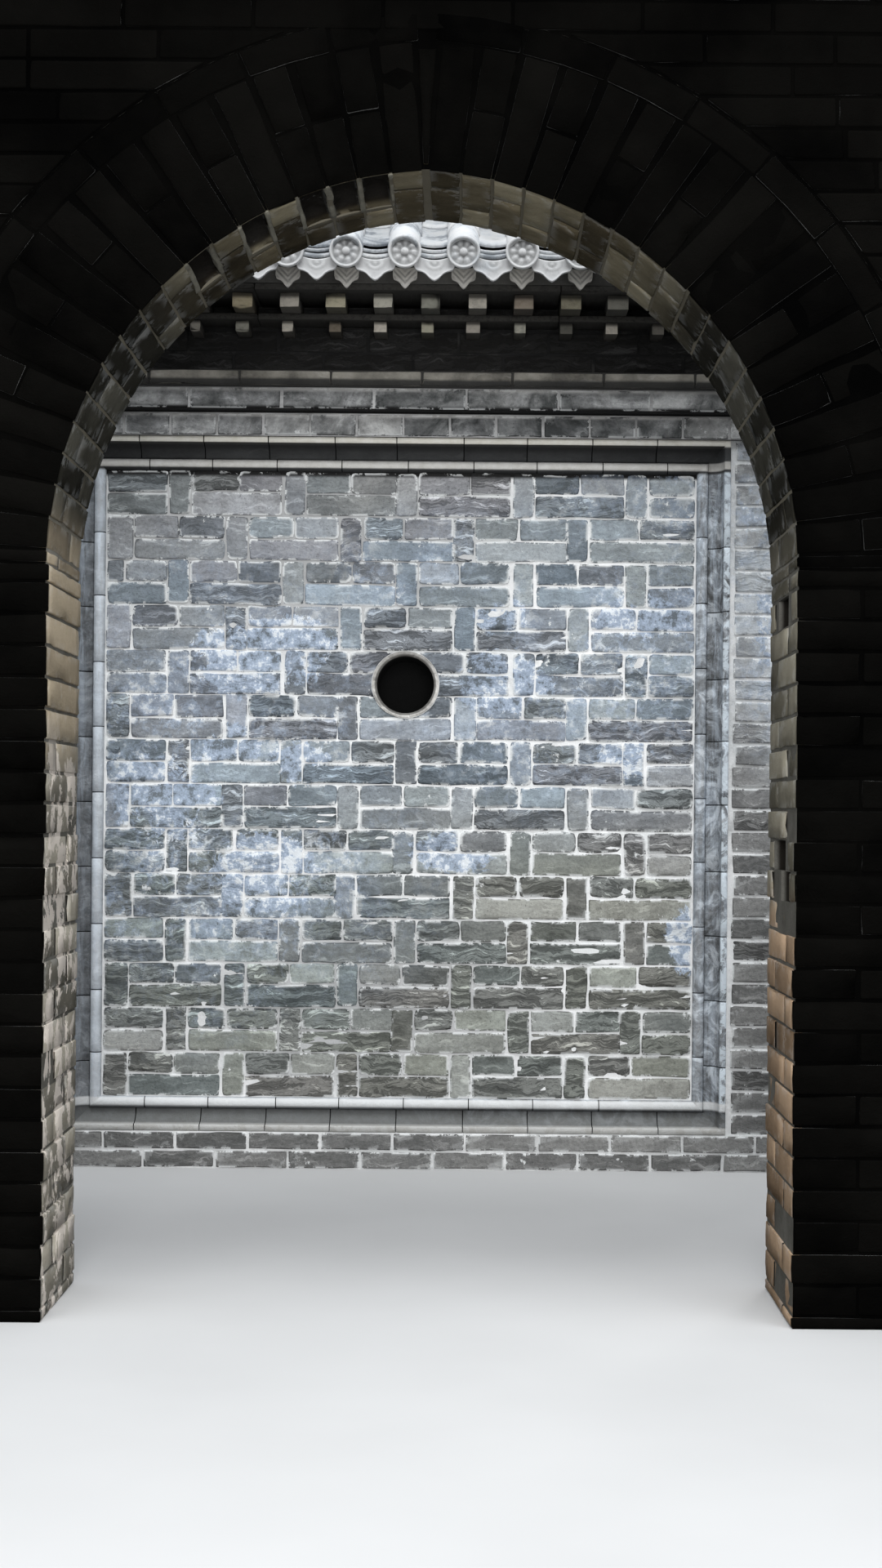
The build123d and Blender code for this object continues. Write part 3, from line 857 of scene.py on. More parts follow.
def tile_disc(batch, x, y, z, way):
    """Round tile end with a raised rim and a plain rosette."""
    radii = np.array([53.0, 55.0, 54.0, 49.0, 45.0, 42.0, 34.0, 27.0, 19.0, 14.0, 11.0, 6.0, 0.5])
    outs = np.array([-14.0, 3.0, 7.0, 7.5, 2.0, 0.0, 3.0, 4.0, 1.0, 1.0, 6.0, 8.0, 8.5])
    petal = np.array([0, 0, 0, 0, 0, 0.3, 1.0, 1.0, 0.4, 0, 0, 0, 0])
    turn = rng.uniform(0, 1)
    grid_a, grid_r = np.meshgrid(np.linspace(0, 2 * math.pi, 33), radii)
    out = outs[:, None] + petal[:, None] * 2.6 * np.cos(8 * (grid_a + turn))
    points = np.stack([x + grid_r * np.cos(grid_a), y - way * out, z + grid_r * np.sin(grid_a)], axis=-1)
    # painted shade in the low rings of the round end, within its rim
    dark = np.clip(1.0 - out / 5.0, 0.0, 1.0) * (grid_r < 50)
    batch.add(points.reshape(-1, 3), grid_quads(*grid_a.shape), tones(0.55, 1.0), dark.ravel(), flip=way < 0)


def drip_tile(batch, x, y, way, half, top, tip, sag, leaf=False):
    """Pointed drip with a raised border, hung from the dish of a pan tile."""
    grid_u, grid_t = np.meshgrid(np.linspace(-1, 1, 33), np.linspace(0, 1, 15))
    side = np.abs(grid_u)
    edge = [0, 0.12, 0.28, 0.42, 0.60, 0.85, 0.98, 1.0], [1.0, 0.96, 0.86, 0.74, 0.66, 0.61, 0.54, 0.44]
    depth = np.interp(side, *edge)
    upper = top - sag * (1 - grid_u**2)
    lower = top - (top - tip) * depth
    zs = upper + (lower - upper) * grid_t
    xs = x + grid_u * half + rng.normal(0, 1.0)
    border = np.maximum(side**14, grid_t**9)
    inside = (1 - border) * np.sin(grid_t * math.pi) ** 0.5
    if leaf:
        relief = 2.4 * np.cos((grid_t * depth + 0.6 * side) * 22.0) * inside
    else:
        reach = np.hypot(grid_u * half, (zs - (top + tip) / 2 - 14.0) * 1.4)
        relief = 2.0 * np.cos(reach / 3.6) * np.exp(-((reach / 26.0) ** 2)) * inside
    out = 11.0 + 3.4 * border + relief
    # painted shade in the low places of the drip's relief
    dark = np.clip(0.25 - relief * 0.4, 0.0, 1.0) * inside
    front = np.stack([xs, y - way * out, zs], axis=-1)
    back = np.stack([xs, np.full_like(xs, y), zs], axis=-1)
    shell(batch, front, back, tones(0.55, 1.0), way < 0, dark)


def tiled_roof(prefix, x, half, wall_y, out, z_pan, rows, ridge_height, lower_tips=None):
    """Tiles and ridge of a roof whose eaves stand out from the wall; z_pan is the underside of the pans there."""
    front_y, back_y = wall_y - out, wall_y + THICK + out
    mid = (front_y + back_y) / 2
    tile = "grey_tile" if prefix == "screen" else "gate_tile"
    pitch = (half - TILE_R - 12.0) / rows
    pans_x = [x + (n + 0.5) * pitch for n in range(-rows, rows)]
    covers_x = [x + n * pitch for n in range(-rows, rows + 1)]
    run = mid - front_y
    length = run / math.cos(SLOPE)
    starts = [s for s in (-8.0, 25.0, 58.0, 328.0, 470.0) if s <= length - 86.0]
    spans = list(zip(starts, starts[1:] + [length - 46.0], (11.0, 20.0, 29.0, 11.0, 11.0)))
    end = length - RIDGE_HALF / math.cos(SLOPE)
    count = max(2, round(end / 190.0))
    step = (end + 14.0) / count
    z_top = z_pan + PAN_THICK
    for side, eave_y, way in (("front", front_y, 1), ("back", back_y, -1)):
        slope = Slope(eave_y, way, z_top)
        pans = Batch()
        covers = Batch()
        for cx in pans_x:
            for s0, s1, lift in spans:
                pan_tile(pans, slope, cx, pitch / 2 - 2, s0, s1 + 40.0, lift)
        for cx in covers_x:
            for part in range(count):
                s0 = -14.0 + part * step
                cover_tile(covers, slope, cx, s0, s0 + step + 3)
            tile_disc(covers, cx, eave_y - way * 19.0, z_top - 14.0 * TAN, way)
        for edge in (-1, 1):
            for s0, s1, lift in spans:
                pan_tile(pans, slope, x + edge * (half - 8.0), 7.0, s0, s1 + 40.0, lift)
        pans.build(f"{prefix}_{side}_pan_tiles", tile, "grey_tile", f"{prefix}_{side}_pans")
        covers.build(f"{prefix}_{side}_cover_tiles", tile, "grey_tile", f"{prefix}_{side}_covers")
    drips = Batch()
    for eave_y, way in ((front_y, 1), (back_y, -1)):
        for cx in pans_x:
            drip_tile(drips, cx, eave_y, way, 66.0, z_top - 16.0, z_top - 102.0, 18.0)
    drips.build(f"{prefix}_drips", tile, "grey_tile", f"{prefix}_drip_tiles")
    if lower_tips is not None:
        small = Batch()
        for eave_y, way in ((front_y + 30.0, 1), (back_y - 30.0, -1)):
            for cx in covers_x:
                drip_tile(small, cx, eave_y, way, 40.0, z_pan - 5, lower_tips, 4.0, True)
        small.build(f"{prefix}_small_drips", "dark_tile", "grey_tile", f"{prefix}_lower_drips")
    ridge_tiles(prefix, x, half - 20.0, mid, z_top + run * TAN, ridge_height)


def ridge_tiles(prefix, x, half, mid, z, height):
    """Courses and half-round caps of the ridge."""
    batch = Batch()
    low = z - RIDGE_HALF * TAN + 14.0
    top = z + height
    step = (top - low) / 3
    sides = (
        (Face((0, mid - RIDGE_HALF, 0), "front"), x - half, x + half),
        (Face((0, mid + RIDGE_HALF, 0), "back"), -(x + half), -(x - half)),
    )
    for n, first in enumerate((LONG, SHORT, LONG)):
        z0 = low + n * step + 2
        z1 = z0 + step - 5
        for face, a, b in sides:
            brick_row(batch, face, a, b, z0, z1, first)
        for face in (Face((x + half, mid, 0), "right"), Face((x - half, mid, 0), "left")):
            brick(batch, face, -74.0, 74.0, z0, z1, tones())
    radii = np.array([44.5, 47.0, 46.0, 47.0, 44.5])
    a = x - half
    while a < x + half - 20:
        b = min(a + RIDGE_CAP, x + half)
        grid_a, grid_x = np.meshgrid(np.linspace(0, math.pi, 13), [a + 1.5, a + 4, (a + b) / 2, b - 4, b - 1.5])
        plates = []
        for radius in (radii[:, None], radii[:, None] - 14.0):
            plates.append(np.stack([grid_x, mid - radius * np.cos(grid_a), top + radius * np.sin(grid_a)], axis=-1))
        shell(batch, *plates, tones(), flip=True)
        a += RIDGE_CAP
    batch.build(f"{prefix}_ridge_tiles", "ridge_tile", "lime_mortar")


# ---------------------------------------------------------------- materials

# Soft spots on the screen wall: x, z, half width, half height in metres, strength
BLOOM = (
    (-0.562, 1.739, 0.34, 0.18, 1.0),
    (0.240, 1.667, 0.25, 0.13, 1.0),
    (0.224, 1.885, 0.12, 0.08, 0.9),
    (0.707, 1.868, 0.20, 0.12, 1.0),
    (0.690, 1.418, 0.16, 0.10, 0.7),
    (-0.914, 1.259, 0.23, 0.25, 1.0),
    (-0.690, 1.435, 0.15, 0.10, 0.8),
    (-0.592, 1.001, 0.25, 0.18, 1.0),
    (-0.460, 1.380, 0.15, 0.10, 0.8),
    (0.073, 1.074, 0.20, 0.10, 0.6),
    (0.880, 0.800, 0.10, 0.16, 1.0),
    (1.330, 1.980, 0.30, 0.60, 0.8),
)
FAINT_BLOOM = (
    (-0.85, 1.28, 1.15, 1.0, 1.0),
    (0.15, 1.72, 1.05, 0.62, 1.0),
    (0.80, 1.95, 0.6, 0.7, 0.8),
    (1.1, 2.0, 0.3, 0.7, 1.0),
)
COOL_BRICKS = ((-0.7, 1.4, 1.1, 1.2, 1.0), (0.3, 1.7, 1.2, 0.8, 1.0))
PALE_PIER = ((1.33, 1.95, 0.45, 0.8, 1.0),)
DULL_MORTAR = ((-0.45, 2.15, 0.9, 0.5, 0.75), (-0.25, 0.55, 0.75, 0.4, 0.6))

# Spans in metres: x from left to right, y past the front of the screen wall and of the gate, heights z
MIDDLE = (-0.2, 0.2)
BEHIND_SCREEN_FACE = (0.95, 1.15)
BEHIND_GATE_FACE = (-1.4995, -1.492)
UNDER_TOP_BEAD = (2.352, 2.366)
OVER_LOWER_BAND = (2.566, 2.569)
SPRINGING = (1.74, 1.98)

WHITE = (1.0, 1.0, 1.0)


def grey(level, tint=WHITE):
    """Linear colour of a display grey from 0 to 255, with a tint."""
    value = level / 255.0
    linear = value / 12.92 if value <= 0.04045 else ((value + 0.055) / 1.055) ** 2.4
    return tuple(linear * t for t in tint)


class Field:
    """A number or colour that varies over the surface: one output of a node. Arithmetic on it adds nodes."""

    def __init__(self, graph, socket):
        self.graph = graph
        self.socket = socket

    def reckon(self, kind, other=0.0):
        """Math node of this and another number."""
        return self.graph.math(kind, self, other)

    def __rsub__(self, other):
        return self.graph.math("SUBTRACT", other, self)

    __add__ = functools.partialmethod(reckon, "ADD")
    __sub__ = functools.partialmethod(reckon, "SUBTRACT")
    __mul__ = functools.partialmethod(reckon, "MULTIPLY")
    __truediv__ = functools.partialmethod(reckon, "DIVIDE")
    __abs__ = functools.partialmethod(reckon, "ABSOLUTE")
    root = functools.partialmethod(reckon, "SQRT")
    most = functools.partialmethod(reckon, "MAXIMUM")

    def scatter(self, factor):
        """A number from 0 to 1 that differs widely between bricks of nearly the same tone."""
        return (self * factor).reckon("FRACT")

    def span(self, low, high, to_low=0.0, to_high=1.0, smooth=True):
        """Map one range on another, clamped."""
        kind = "SMOOTHSTEP" if smooth else "LINEAR"
        values = {"Value": self, "From Min": low, "From Max": high, "To Min": to_low, "To Max": to_high}
        return self.graph.made("ShaderNodeMapRange", values, "Result", interpolation_type=kind)

    def fall(self, low, high):
        """1 below the range and 0 above it."""
        return self.span(low, high, 1.0, 0.0)

    def ramp(self, *stops):
        """Colours over the number; each stop is its place, a display grey and, if it has one, a tint."""
        node = self.graph.node("ShaderNodeValToRGB")
        elements = node.color_ramp.elements
        while len(elements) < len(stops):
            elements.new(0.5)
        for element, (at, *colour) in zip(elements, stops):
            element.position = at
            element.color = (*grey(*colour), 1.0)
        self.graph.put(node.inputs["Fac"], self)
        return Field(self.graph, node.outputs["Color"])

    def mix(self, share, other, kind="MIX"):
        """This colour, mixed with a share of another."""
        return self.graph.mix(share, self, other, kind)


class Graph:
    """Wires one material's nodes."""

    def __init__(self, name, specular=0.25):
        self.material = bpy.data.materials.new(name)
        self.material.use_nodes = True
        self.tree = self.material.node_tree
        self.tree.nodes.clear()
        self.shader = self.node("ShaderNodeBsdfPrincipled")
        self.put(self.node("ShaderNodeOutputMaterial").inputs["Surface"], self.shader.outputs["BSDF"])
        self.shader.inputs["Specular IOR Level"].default_value = specular
        self.place = self.node("ShaderNodeTexCoord").outputs["Object"]

    def node(self, kind, **settings):
        """New node, with its settings."""
        node = self.tree.nodes.new(kind)
        for key, value in settings.items():
            setattr(node, key, value)
        return node

    def put(self, socket, value):
        """Link or set one input."""
        value = value.socket if isinstance(value, Field) else value
        if isinstance(value, bpy.types.NodeSocket):
            self.tree.links.new(value, socket)
        elif isinstance(value, tuple) and len(socket.default_value) > len(value):
            socket.default_value = (*value, 1.0)
        else:
            socket.default_value = value

    def made(self, kind, values, output=0, **settings):
        """One output of a new node with these inputs."""
        node = self.node(kind, **settings)
        for key, value in values.items():
            self.put(node.inputs[key], value)
        return Field(self, node.outputs[output])

    def math(self, kind, a, b=0.0):
        """Math node."""
        return self.made("ShaderNodeMath", {0: a, 1: b}, operation=kind)

    def mix(self, share, low, high, kind="MIX"):
        """Mix of two colours."""
        values = {0: share, 6: low, 7: high}
        return self.made("ShaderNodeMix", values, 2, data_type="RGBA", blend_type=kind, clamp_factor=True)

    def attribute(self, name):
        """Named number stored at the mesh's points."""
        return Field(self, self.node("ShaderNodeAttribute", attribute_name=name).outputs["Fac"])

    def parts(self, vector):
        """X, Y and Z of a vector."""
        node = self.node("ShaderNodeSeparateXYZ")
        self.put(node.inputs[0], vector)
        return [Field(self, socket) for socket in node.outputs]

    @functools.cached_property
    def axes(self):
        """X, Y and Z of the place in metres."""
        return self.parts(self.place)

    def facing(self, axis):
        """How far the face looks along an axis, -1 to 1."""
        return self.parts(self.node("ShaderNodeNewGeometry").outputs["Normal"])[axis]

    @functools.cached_property
    def shifted(self):
        """Place moved by each brick's tone, so that the grain doesn't run on from brick to brick."""
        return self.moved(self.place, self.attribute("tone") * 37.0)

    def moved(self, place, move):
        """Place moved by a number along all three axes."""
        return self.made("ShaderNodeVectorMath", {0: place, 1: move}, operation="ADD")

    def noise(self, scale, detail=4.0, rough=0.6, place=None, distort=0.0):
        """Noise, as a number from about 0.25 to 0.75."""
        place = self.place if place is None else place
        values = {"Vector": place, "Scale": scale, "Detail": detail, "Roughness": rough, "Distortion": distort}
        return self.made("ShaderNodeTexNoise", values, "Fac")

    def streaks(self, place, scale):
        """Noise drawn out along the axes with a small scale."""
        drawn = self.made("ShaderNodeMapping", {"Vector": place, "Scale": scale}, "Vector")
        return self.noise(1.0, 6.0, 0.68, drawn, 0.4)

    def spots(self, table):
        """The strongest of several soft spots on the X Z plane, 1 in the middle of a full one."""
        x, _, z = self.axes
        best = 0.0
        for middle_x, middle_z, wide, high, strength in table:
            across = (x - middle_x) / wide
            up = (z - middle_z) / high
            best = ((across * across + up * up).fall(0.0, 1.0) * strength).most(best)
        return best

    @functools.cached_property
    def reach(self):
        """Distance from the arch's centre line, or from the jambs below it, in metres."""
        x, _, z = self.axes
        across = abs(x) + ARCH_OFFSET * MM
        up = (z - SPRING * MM).most(0.0)
        return (across * across + up * up).root()

    def finish(self, colour, grain, roughness, height, strength, distance):
        """Set the shader's colour, its roughness by the grain and its bump; gives the material."""
        self.put(self.shader.inputs["Base Color"], colour)
        self.put(self.shader.inputs["Roughness"], grain.span(0.3, 0.7, *roughness))
        values = {"Strength": strength, "Distance": distance, "Height": height}
        self.put(self.shader.inputs["Normal"], self.made("ShaderNodeBump", values, "Normal"))
        return self.material


# Layers of a broken brick face, from dark to pale and back
FLAKES = ((0.32, 26), (0.43, 88), (0.465, 34), (0.49, 122), (0.55, 142), (0.575, 66), (0.61, 196), (0.68, 240))


def brick_material(name, stops, region, lime=0.0, layered=0.3, gate=False):
    """Fired brick: a tone for each brick, stains, spalled faces, lime at the rims and grain."""
    g = Graph(name, 0.0 if gate else 0.25)
    tone = g.attribute("tone")
    rim = g.attribute("rim")
    spalled = tone.span(1.0, 1.04)
    patch = g.noise(9.0, 5.0, 0.65, g.shifted)
    colour = (tone * 0.72 + patch.span(0.3, 0.7) * 0.28).ramp(*stops)
    grain = g.noise(90.0, 6.0, 0.7, g.shifted)
    colour = colour.mix(0.4, grain.ramp((0.3, 92), (0.7, 225)), "OVERLAY")
    warp = g.noise(9.0, 3.0, 0.55, g.shifted) * 0.09
    layers = g.streaks(g.moved(g.shifted, warp), (6.0, 6.0, 44.0))
    broken = layers.ramp(*FLAKES)
    colour = colour.mix(spalled * 0.8, broken).mix(layered, broken)
    edge = rim.span(0.5, 0.95) * g.noise(20.0, 4.0, 0.6).span(0.42, 0.54)
    colour = colour.mix(edge * 0.6, grey(40))
    pits = g.noise(160.0, 2.0, 0.5, g.shifted).span(0.62, 0.72)
    colour = region(g, colour.mix(pits * 0.4, grey(48)), tone)
    if lime:
        smear = rim.span(0.25, 0.9) * g.noise(15.0, 5.0, 0.72).span(0.50, 0.54)
        dabs = g.noise(12.0, 6.0, 0.7, g.shifted).span(0.66, 0.69)
        colour = colour.mix(smear.most(dabs) * lime, grey(238, (0.98, 1.0, 1.0)))
    if gate:
        # painted shade on the gate's front faces
        colour = painted_front_shade(g, plaster_over(g, colour))
    height = grain * 0.5 + g.noise(38.0, 5.0, 0.7, g.shifted) + layers * (spalled * 4.0 + 0.4)
    return g.finish(colour, grain, (0.82, 0.97), height, 0.75, 0.005)


def chosen(tone, low, high):
    """Picks some of the bricks, 0 to 1, by a number that follows from their tone."""
    return tone.scatter(91.7).span(low, high)


def panel_region(g, colour, tone):
    """Bricks of the panel: tints that differ from brick to brick, warm low down, cool by the bloom, painted shade under
    the top bead, and bloom.
    """
    tints = tone.scatter(43.1).ramp(
        (0.0, 255, (0.90, 1.0, 1.07)),
        (0.4, 255, (0.98, 1.0, 0.95)),
        (0.6, 255, (1.02, 0.99, 1.01)),
        (0.8, 255, (0.96, 1.0, 1.03)),
        (1.0, 255),
    )
    z = g.axes[2]
    colour = colour.mix(1.0, tints, "MULTIPLY")
    colour = colour.mix(z.fall(0.9, 1.4), grey(244, (0.99, 1.0, 0.92)), "MULTIPLY")
    colour = colour.mix(g.spots(COOL_BRICKS), grey(252, (0.92, 1.0, 1.09)), "MULTIPLY")
    # painted shade: a dark strip just under the top bead
    return bloom_over(g, colour.mix(z.span(*UNDER_TOP_BEAD), grey(34)), tone)


def bloom_over(g, colour, tone, strength=1.0):
    """Salt bloom: whole bricks here and there, soft patches on the others, and strong patches where it is thick."""
    cloud = g.noise(2.6, 5.0, 0.6).span(0.36, 0.60)
    fine = g.noise(24.0, 6.0, 0.74, distort=0.8).span(0.44, 0.60)
    whole = chosen(tone, 0.42, 0.70) * (fine * 0.45 + 0.55)
    faint = g.spots(FAINT_BLOOM) * (whole * cloud).most(fine * cloud * 0.8)
    share = chosen(tone, 0.1, 0.9) * 0.62 + fine * 0.28
    crust = (g.spots(BLOOM) + share).span(0.92, 1.04)
    front = g.axes[1].span(*BEHIND_SCREEN_FACE, 0.86 * strength, 0.0)
    blue = (g.noise(30.0, 6.0, 0.75) * 0.7 + g.noise(5.0) * 0.3).ramp(
        (0.42, 112, (0.86, 1.0, 1.14)),
        (0.46, 168, (0.82, 0.98, 1.22)),
        (0.53, 196, (0.82, 0.98, 1.24)),
        (0.57, 246, (0.95, 1.0, 1.05)),
    )
    return colour.mix(faint.most(crust) * front, blue)


def pier_region(g, colour, tone):
    """Bricks beside the frame: a little darker near the ground, bleached high up at the right, and bloom."""
    _, y, z = g.axes
    colour = colour.mix(z.fall(0.7, 1.5), grey(222, (1.0, 1.0, 0.98)), "MULTIPLY")
    pale = g.spots(PALE_PIER) * g.noise(9.0, 5.0, 0.7).span(0.42, 0.52, 0.3, 0.85) * y.fall(*BEHIND_SCREEN_FACE)
    return bloom_over(g, colour.mix(pale, grey(232, (0.94, 1.0, 1.05))), tone)


def frame_region(g, colour, tone, left_colour):
    """Lime and bloom run down the upright mouldings, with painted shade in patches in the crease between bead and
    hollow; at the top and the bottom the light and shade of the profile are painted: pale bead and lip, dark hollow,
    shadow by the bead, and dark undersides at the top.
    """
    x, y, z = g.axes
    top = z.span(2.372, 2.382)
    upright = 1.0 - top
    right = x.span(*MIDDLE)
    deep = y.span(0.905, 0.925)
    patches = g.noise(14.0, 5.0, 0.7).span(0.40, 0.54, 1.0, 0.3)
    # painted shade, in patches, in the crease between bead and hollow on the upright sides
    dull = g.mix(right, grey(76, (0.95, 1.0, 1.05)), grey(92, (0.96, 1.0, 0.98)))
    colour = colour.mix(deep * upright * patches * 0.9, dull)
    colour = colour.mix(right * upright * patches * 0.5, grey(92, (0.96, 1.0, 1.0)))
    runs = g.streaks(g.place, (40.0, 40.0, 5.0)).span(0.44, 0.60)
    washed = 1.0 - deep * x.span(*MIDDLE, 0.9, 0.0)
    lime = runs * upright * z.span(0.5, 2.2, 0.45, 0.8) * washed
    colour = colour.mix(lime, grey(214, (0.88, 0.99, 1.12)))
    blotches = g.noise(12.0, 6.0, 0.72, distort=1.2).ramp(
        (0.40, 52, (0.95, 1.0, 1.05)),
        (0.46, 120, (0.94, 1.0, 1.08)),
        (0.53, 178, (0.90, 1.0, 1.12)),
        (0.58, 246, (0.93, 1.0, 1.07)),
    )
    colour = colour.mix(upright * x.span(*MIDDLE, 0.20, 0.42), blotches)
    colour = colour.mix(upright * x.span(*MIDDLE, 0.4, 0.0), left_colour)
    lip = y.span(0.874, 0.866) * g.noise(16.0, 6.0, 0.7, distort=1.0).span(0.44, 0.52)
    colour = colour.mix(lip * upright * 0.85, grey(232, (0.90, 1.0, 1.08)))
    # painted light and shade of the bottom moulding: pale lip, darker hollow, black shadow under the bead, white bead
    foot_shading = z.span(0.120, 0.240, smooth=False).ramp(
        (0.06, 168, (1.02, 1.0, 0.93)),
        (0.22, 196, (1.02, 1.0, 0.95)),
        (0.27, 112, (0.98, 1.0, 0.96)),
        (0.55, 88, (0.98, 1.0, 0.98)),
        (0.68, 50),
        (0.74, 220, (0.98, 1.0, 1.0)),
        (1.0, 240),
    )
    colour = colour.mix(z.fall(0.228, 0.236) * 0.85, foot_shading)
    # painted light and shade of the top moulding: dark lower half of the bead, pale upper half, dark hollow that faces
    # down, pale lip
    head_shading = z.span(2.370, 2.490, smooth=False).ramp(
        (0.05, 40),
        (0.12, 56),
        (0.16, 214, (1.02, 1.0, 0.95)),
        (0.34, 196, (1.02, 1.0, 0.96)),
        (0.38, 54, (0.97, 1.0, 1.02)),
        (0.74, 44, (0.98, 1.0, 1.0)),
        (0.79, 216, (1.03, 1.0, 0.91)),
        (1.0, 205, (1.03, 1.0, 0.91)),
    )
    mottle = g.noise(18.0, 5.0, 0.7).ramp((0.3, 120), (0.7, 205))
    colour = colour.mix(top * 0.92, head_shading.mix(0.5, mottle, "OVERLAY"))
    # painted shade on the undersides near the top
    under = g.facing(2).span(-0.55, -0.9) * z.span(2.30, 2.38)
    return colour.mix(under * 0.9, grey(40, (0.98, 1.0, 1.0)))


def gate_region(g, colour, tone):
    """Colours of the reveal: tan at the left, reddish low at the right, dark olive over the springing."""
    x, _, z = g.axes
    spread = tone * 0.6 + g.noise(7.0, 4.0, 0.6) * 0.4
    tan = spread.ramp((0.1, 122, (1.22, 1.0, 0.70)), (0.9, 222, (1.20, 1.0, 0.72)))
    dull = spread.ramp((0.1, 84, (1.05, 1.0, 0.82)), (0.9, 190, (1.09, 1.0, 0.82)))
    beige = spread.ramp((0.1, 72, (1.08, 1.0, 0.74)), (0.9, 166, (1.09, 1.0, 0.78)))
    red = spread.ramp((0.1, 92, (1.50, 1.0, 0.60)), (0.9, 176, (1.42, 1.0, 0.66)))
    olive = spread.ramp((0.1, 22, (1.08, 1.0, 0.72)), (0.5, 48, (1.06, 1.0, 0.76)), (0.9, 100, (1.04, 1.0, 0.80)))
    warm = spread.ramp((0.15, 40, (1.26, 1.0, 0.60)), (0.5, 92, (1.20, 1.0, 0.62)), (0.85, 170, (1.12, 1.0, 0.70)))
    left_jamb = dull.mix(z.span(1.25, 1.45), tan)
    right_jamb = red.mix(z.span(0.92, 1.06), beige)
    jambs = right_jamb.mix(x.fall(*MIDDLE), left_jamb)
    arch = olive.mix(z.span(2.35, 2.6), warm)
    reveal = g.reach.fall(0.947, 0.957)
    colour = colour.mix(reveal * 0.94, jambs.mix(z.span(*SPRINGING), arch))
    return hollow_over(g, colour)


def hollow_over(g, colour):
    """Dark brown inside the joints and where bricks are lost, between the two faces of the gate."""
    y = g.axes[1]
    inner = y.span(*BEHIND_GATE_FACE) * y.fall(-1.06, -1.05)
    lost = inner * g.reach.span(0.939, 0.951) * g.reach.fall(1.06, 1.10)
    return colour.mix(lost * 0.93, grey(30, (1.2, 1.0, 0.82)))


def plaster_over(g, colour):
    """Remains of pale plaster low on the left reveal."""
    x, y, z = g.axes
    reveal = y.span(*BEHIND_GATE_FACE) * y.fall(-1.055, -1.05) * g.reach.fall(0.97, 0.99)
    ragged = g.streaks(g.place, (9.0, 9.0, 9.0)).span(0.50, 0.53)
    share = z.fall(1.25, 1.48) * x.fall(*MIDDLE) * reveal * ragged * 0.8
    return colour.mix(share, grey(226, (1.10, 1.0, 0.90)))


def painted_front_shade(g, colour):
    """Painted shade: near black on the faces that look out of the gate's dark, unlit side."""
    facing = (g.facing(1) * -1.0).span(0.05, 0.4)
    front = g.axes[1].fall(-1.495, -1.485)
    mottle = g.noise(2.2, 4.0, 0.6).span(0.35, 0.65)
    # painted shade: near black standing in for the unlit front of the gate
    unlit_black = (mottle * 0.5 + g.attribute("tone") * 0.5).ramp((0.0, 3), (1.0, 14, (1.06, 1.0, 0.88)))
    return colour.mix(facing * front, unlit_black)


def top_band_region(g, colour, tone):
    """The upper band is beige where it stands upright; its bevel, which faces down, has painted shade."""
    beige = g.noise(6.0, 5.0, 0.6).ramp((0.38, 84, (1.08, 1.0, 0.82)), (0.6, 164, (1.06, 1.0, 0.86)))
    # painted shade on the downward-facing bevel
    bevel = g.facing(2).span(-0.25, -0.5)
    return colour.mix(0.7, beige).mix(bevel * 0.92, grey(52, (1.0, 1.0, 0.98)))


def cornice_region(g, colour, tone):
    """Painted light and shade on the lower bands: pale upper edges as if lit, a painted shadow at the bottom of the
    middle band and dark undersides; and dark patches on their faces.
    """
    z = g.axes[2]
    dirt = g.noise(5.0, 5.0, 0.65, distort=0.6).ramp((0.38, 110, (0.96, 1.0, 1.0)), (0.5, 190), (0.62, 255))
    colour = colour.mix(1.0, dirt, "MULTIPLY")
    # painted highlight along the upper edges of both lower bands
    lower = z.span(2.546, 2.557) * z.fall(*OVER_LOWER_BAND)
    edge = z.span(2.626, 2.640).most(lower) * g.noise(9.0, 5.0, 0.7).span(0.38, 0.5)
    colour = colour.mix(edge * 0.8, grey(186, (1.01, 1.0, 0.97)))
    # painted shadow at the bottom of the middle band, and painted shade on every underside
    foot_shading = z.fall(2.576, 2.590) * z.span(*OVER_LOWER_BAND)
    return colour.mix(foot_shading.most(g.facing(2).span(-0.3, -0.7)), grey(22))


def painted_eave_shade(g, colour, tone):
    """Painted shade: bricks under the eaves darkened towards near black."""
    return colour.mix(0.6, grey(17, (1.05, 1.0, 0.9)))


def mortar_material(name, stops, joints=None, dirt=0.4, specular=0.25):
    """Lime mortar: soft patches, grit and dirt, and then what its place adds."""
    g = Graph(name, specular)
    grit = g.noise(140.0, 5.0, 0.75)
    colour = g.noise(5.0, 5.0, 0.65).span(0.3, 0.7).ramp(*stops)
    colour = colour.mix(0.2, grit.ramp((0.3, 96), (0.7, 230)), "OVERLAY")
    grime = g.noise(11.0, 6.0, 0.7).span(0.50, 0.66)
    colour = colour.mix(grime * dirt, grey(78, (1.02, 1.0, 0.94)))
    if joints:
        colour = joints(g, colour)
    return g.finish(colour, grit, (0.86, 0.98), grit + g.noise(30.0, 4.0, 0.7), 0.6, 0.004)


def pier_joints(g, colour):
    """Half as much bloom on the joints as on the bricks."""
    return bloom_over(g, colour, g.noise(8.0, 2.0, 0.5), 0.5)


def panel_joints(g, colour):
    """Grey places between white joints, and painted shade under the top bead."""
    colour = colour.mix(g.spots(DULL_MORTAR), grey(138, (0.99, 1.0, 1.02)))
    # painted shade under the top bead
    return colour.mix(g.axes[2].span(*UNDER_TOP_BEAD), grey(30))


def gate_joints(g, colour):
    """Grey joints in the jambs and brown ones in the arch."""
    z = g.axes[2]
    inside = g.reach.fall(0.96, 0.98)
    colour = colour.mix(z.fall(1.74, 1.90) * inside * 0.75, grey(74, (1.06, 1.0, 0.84)))
    colour = colour.mix(z.span(*SPRINGING) * inside * 0.92, grey(116, (1.10, 1.0, 0.76)))
    # painted shade on the front faces, as on the bricks
    return painted_front_shade(g, plaster_over(g, hollow_over(g, colour)))


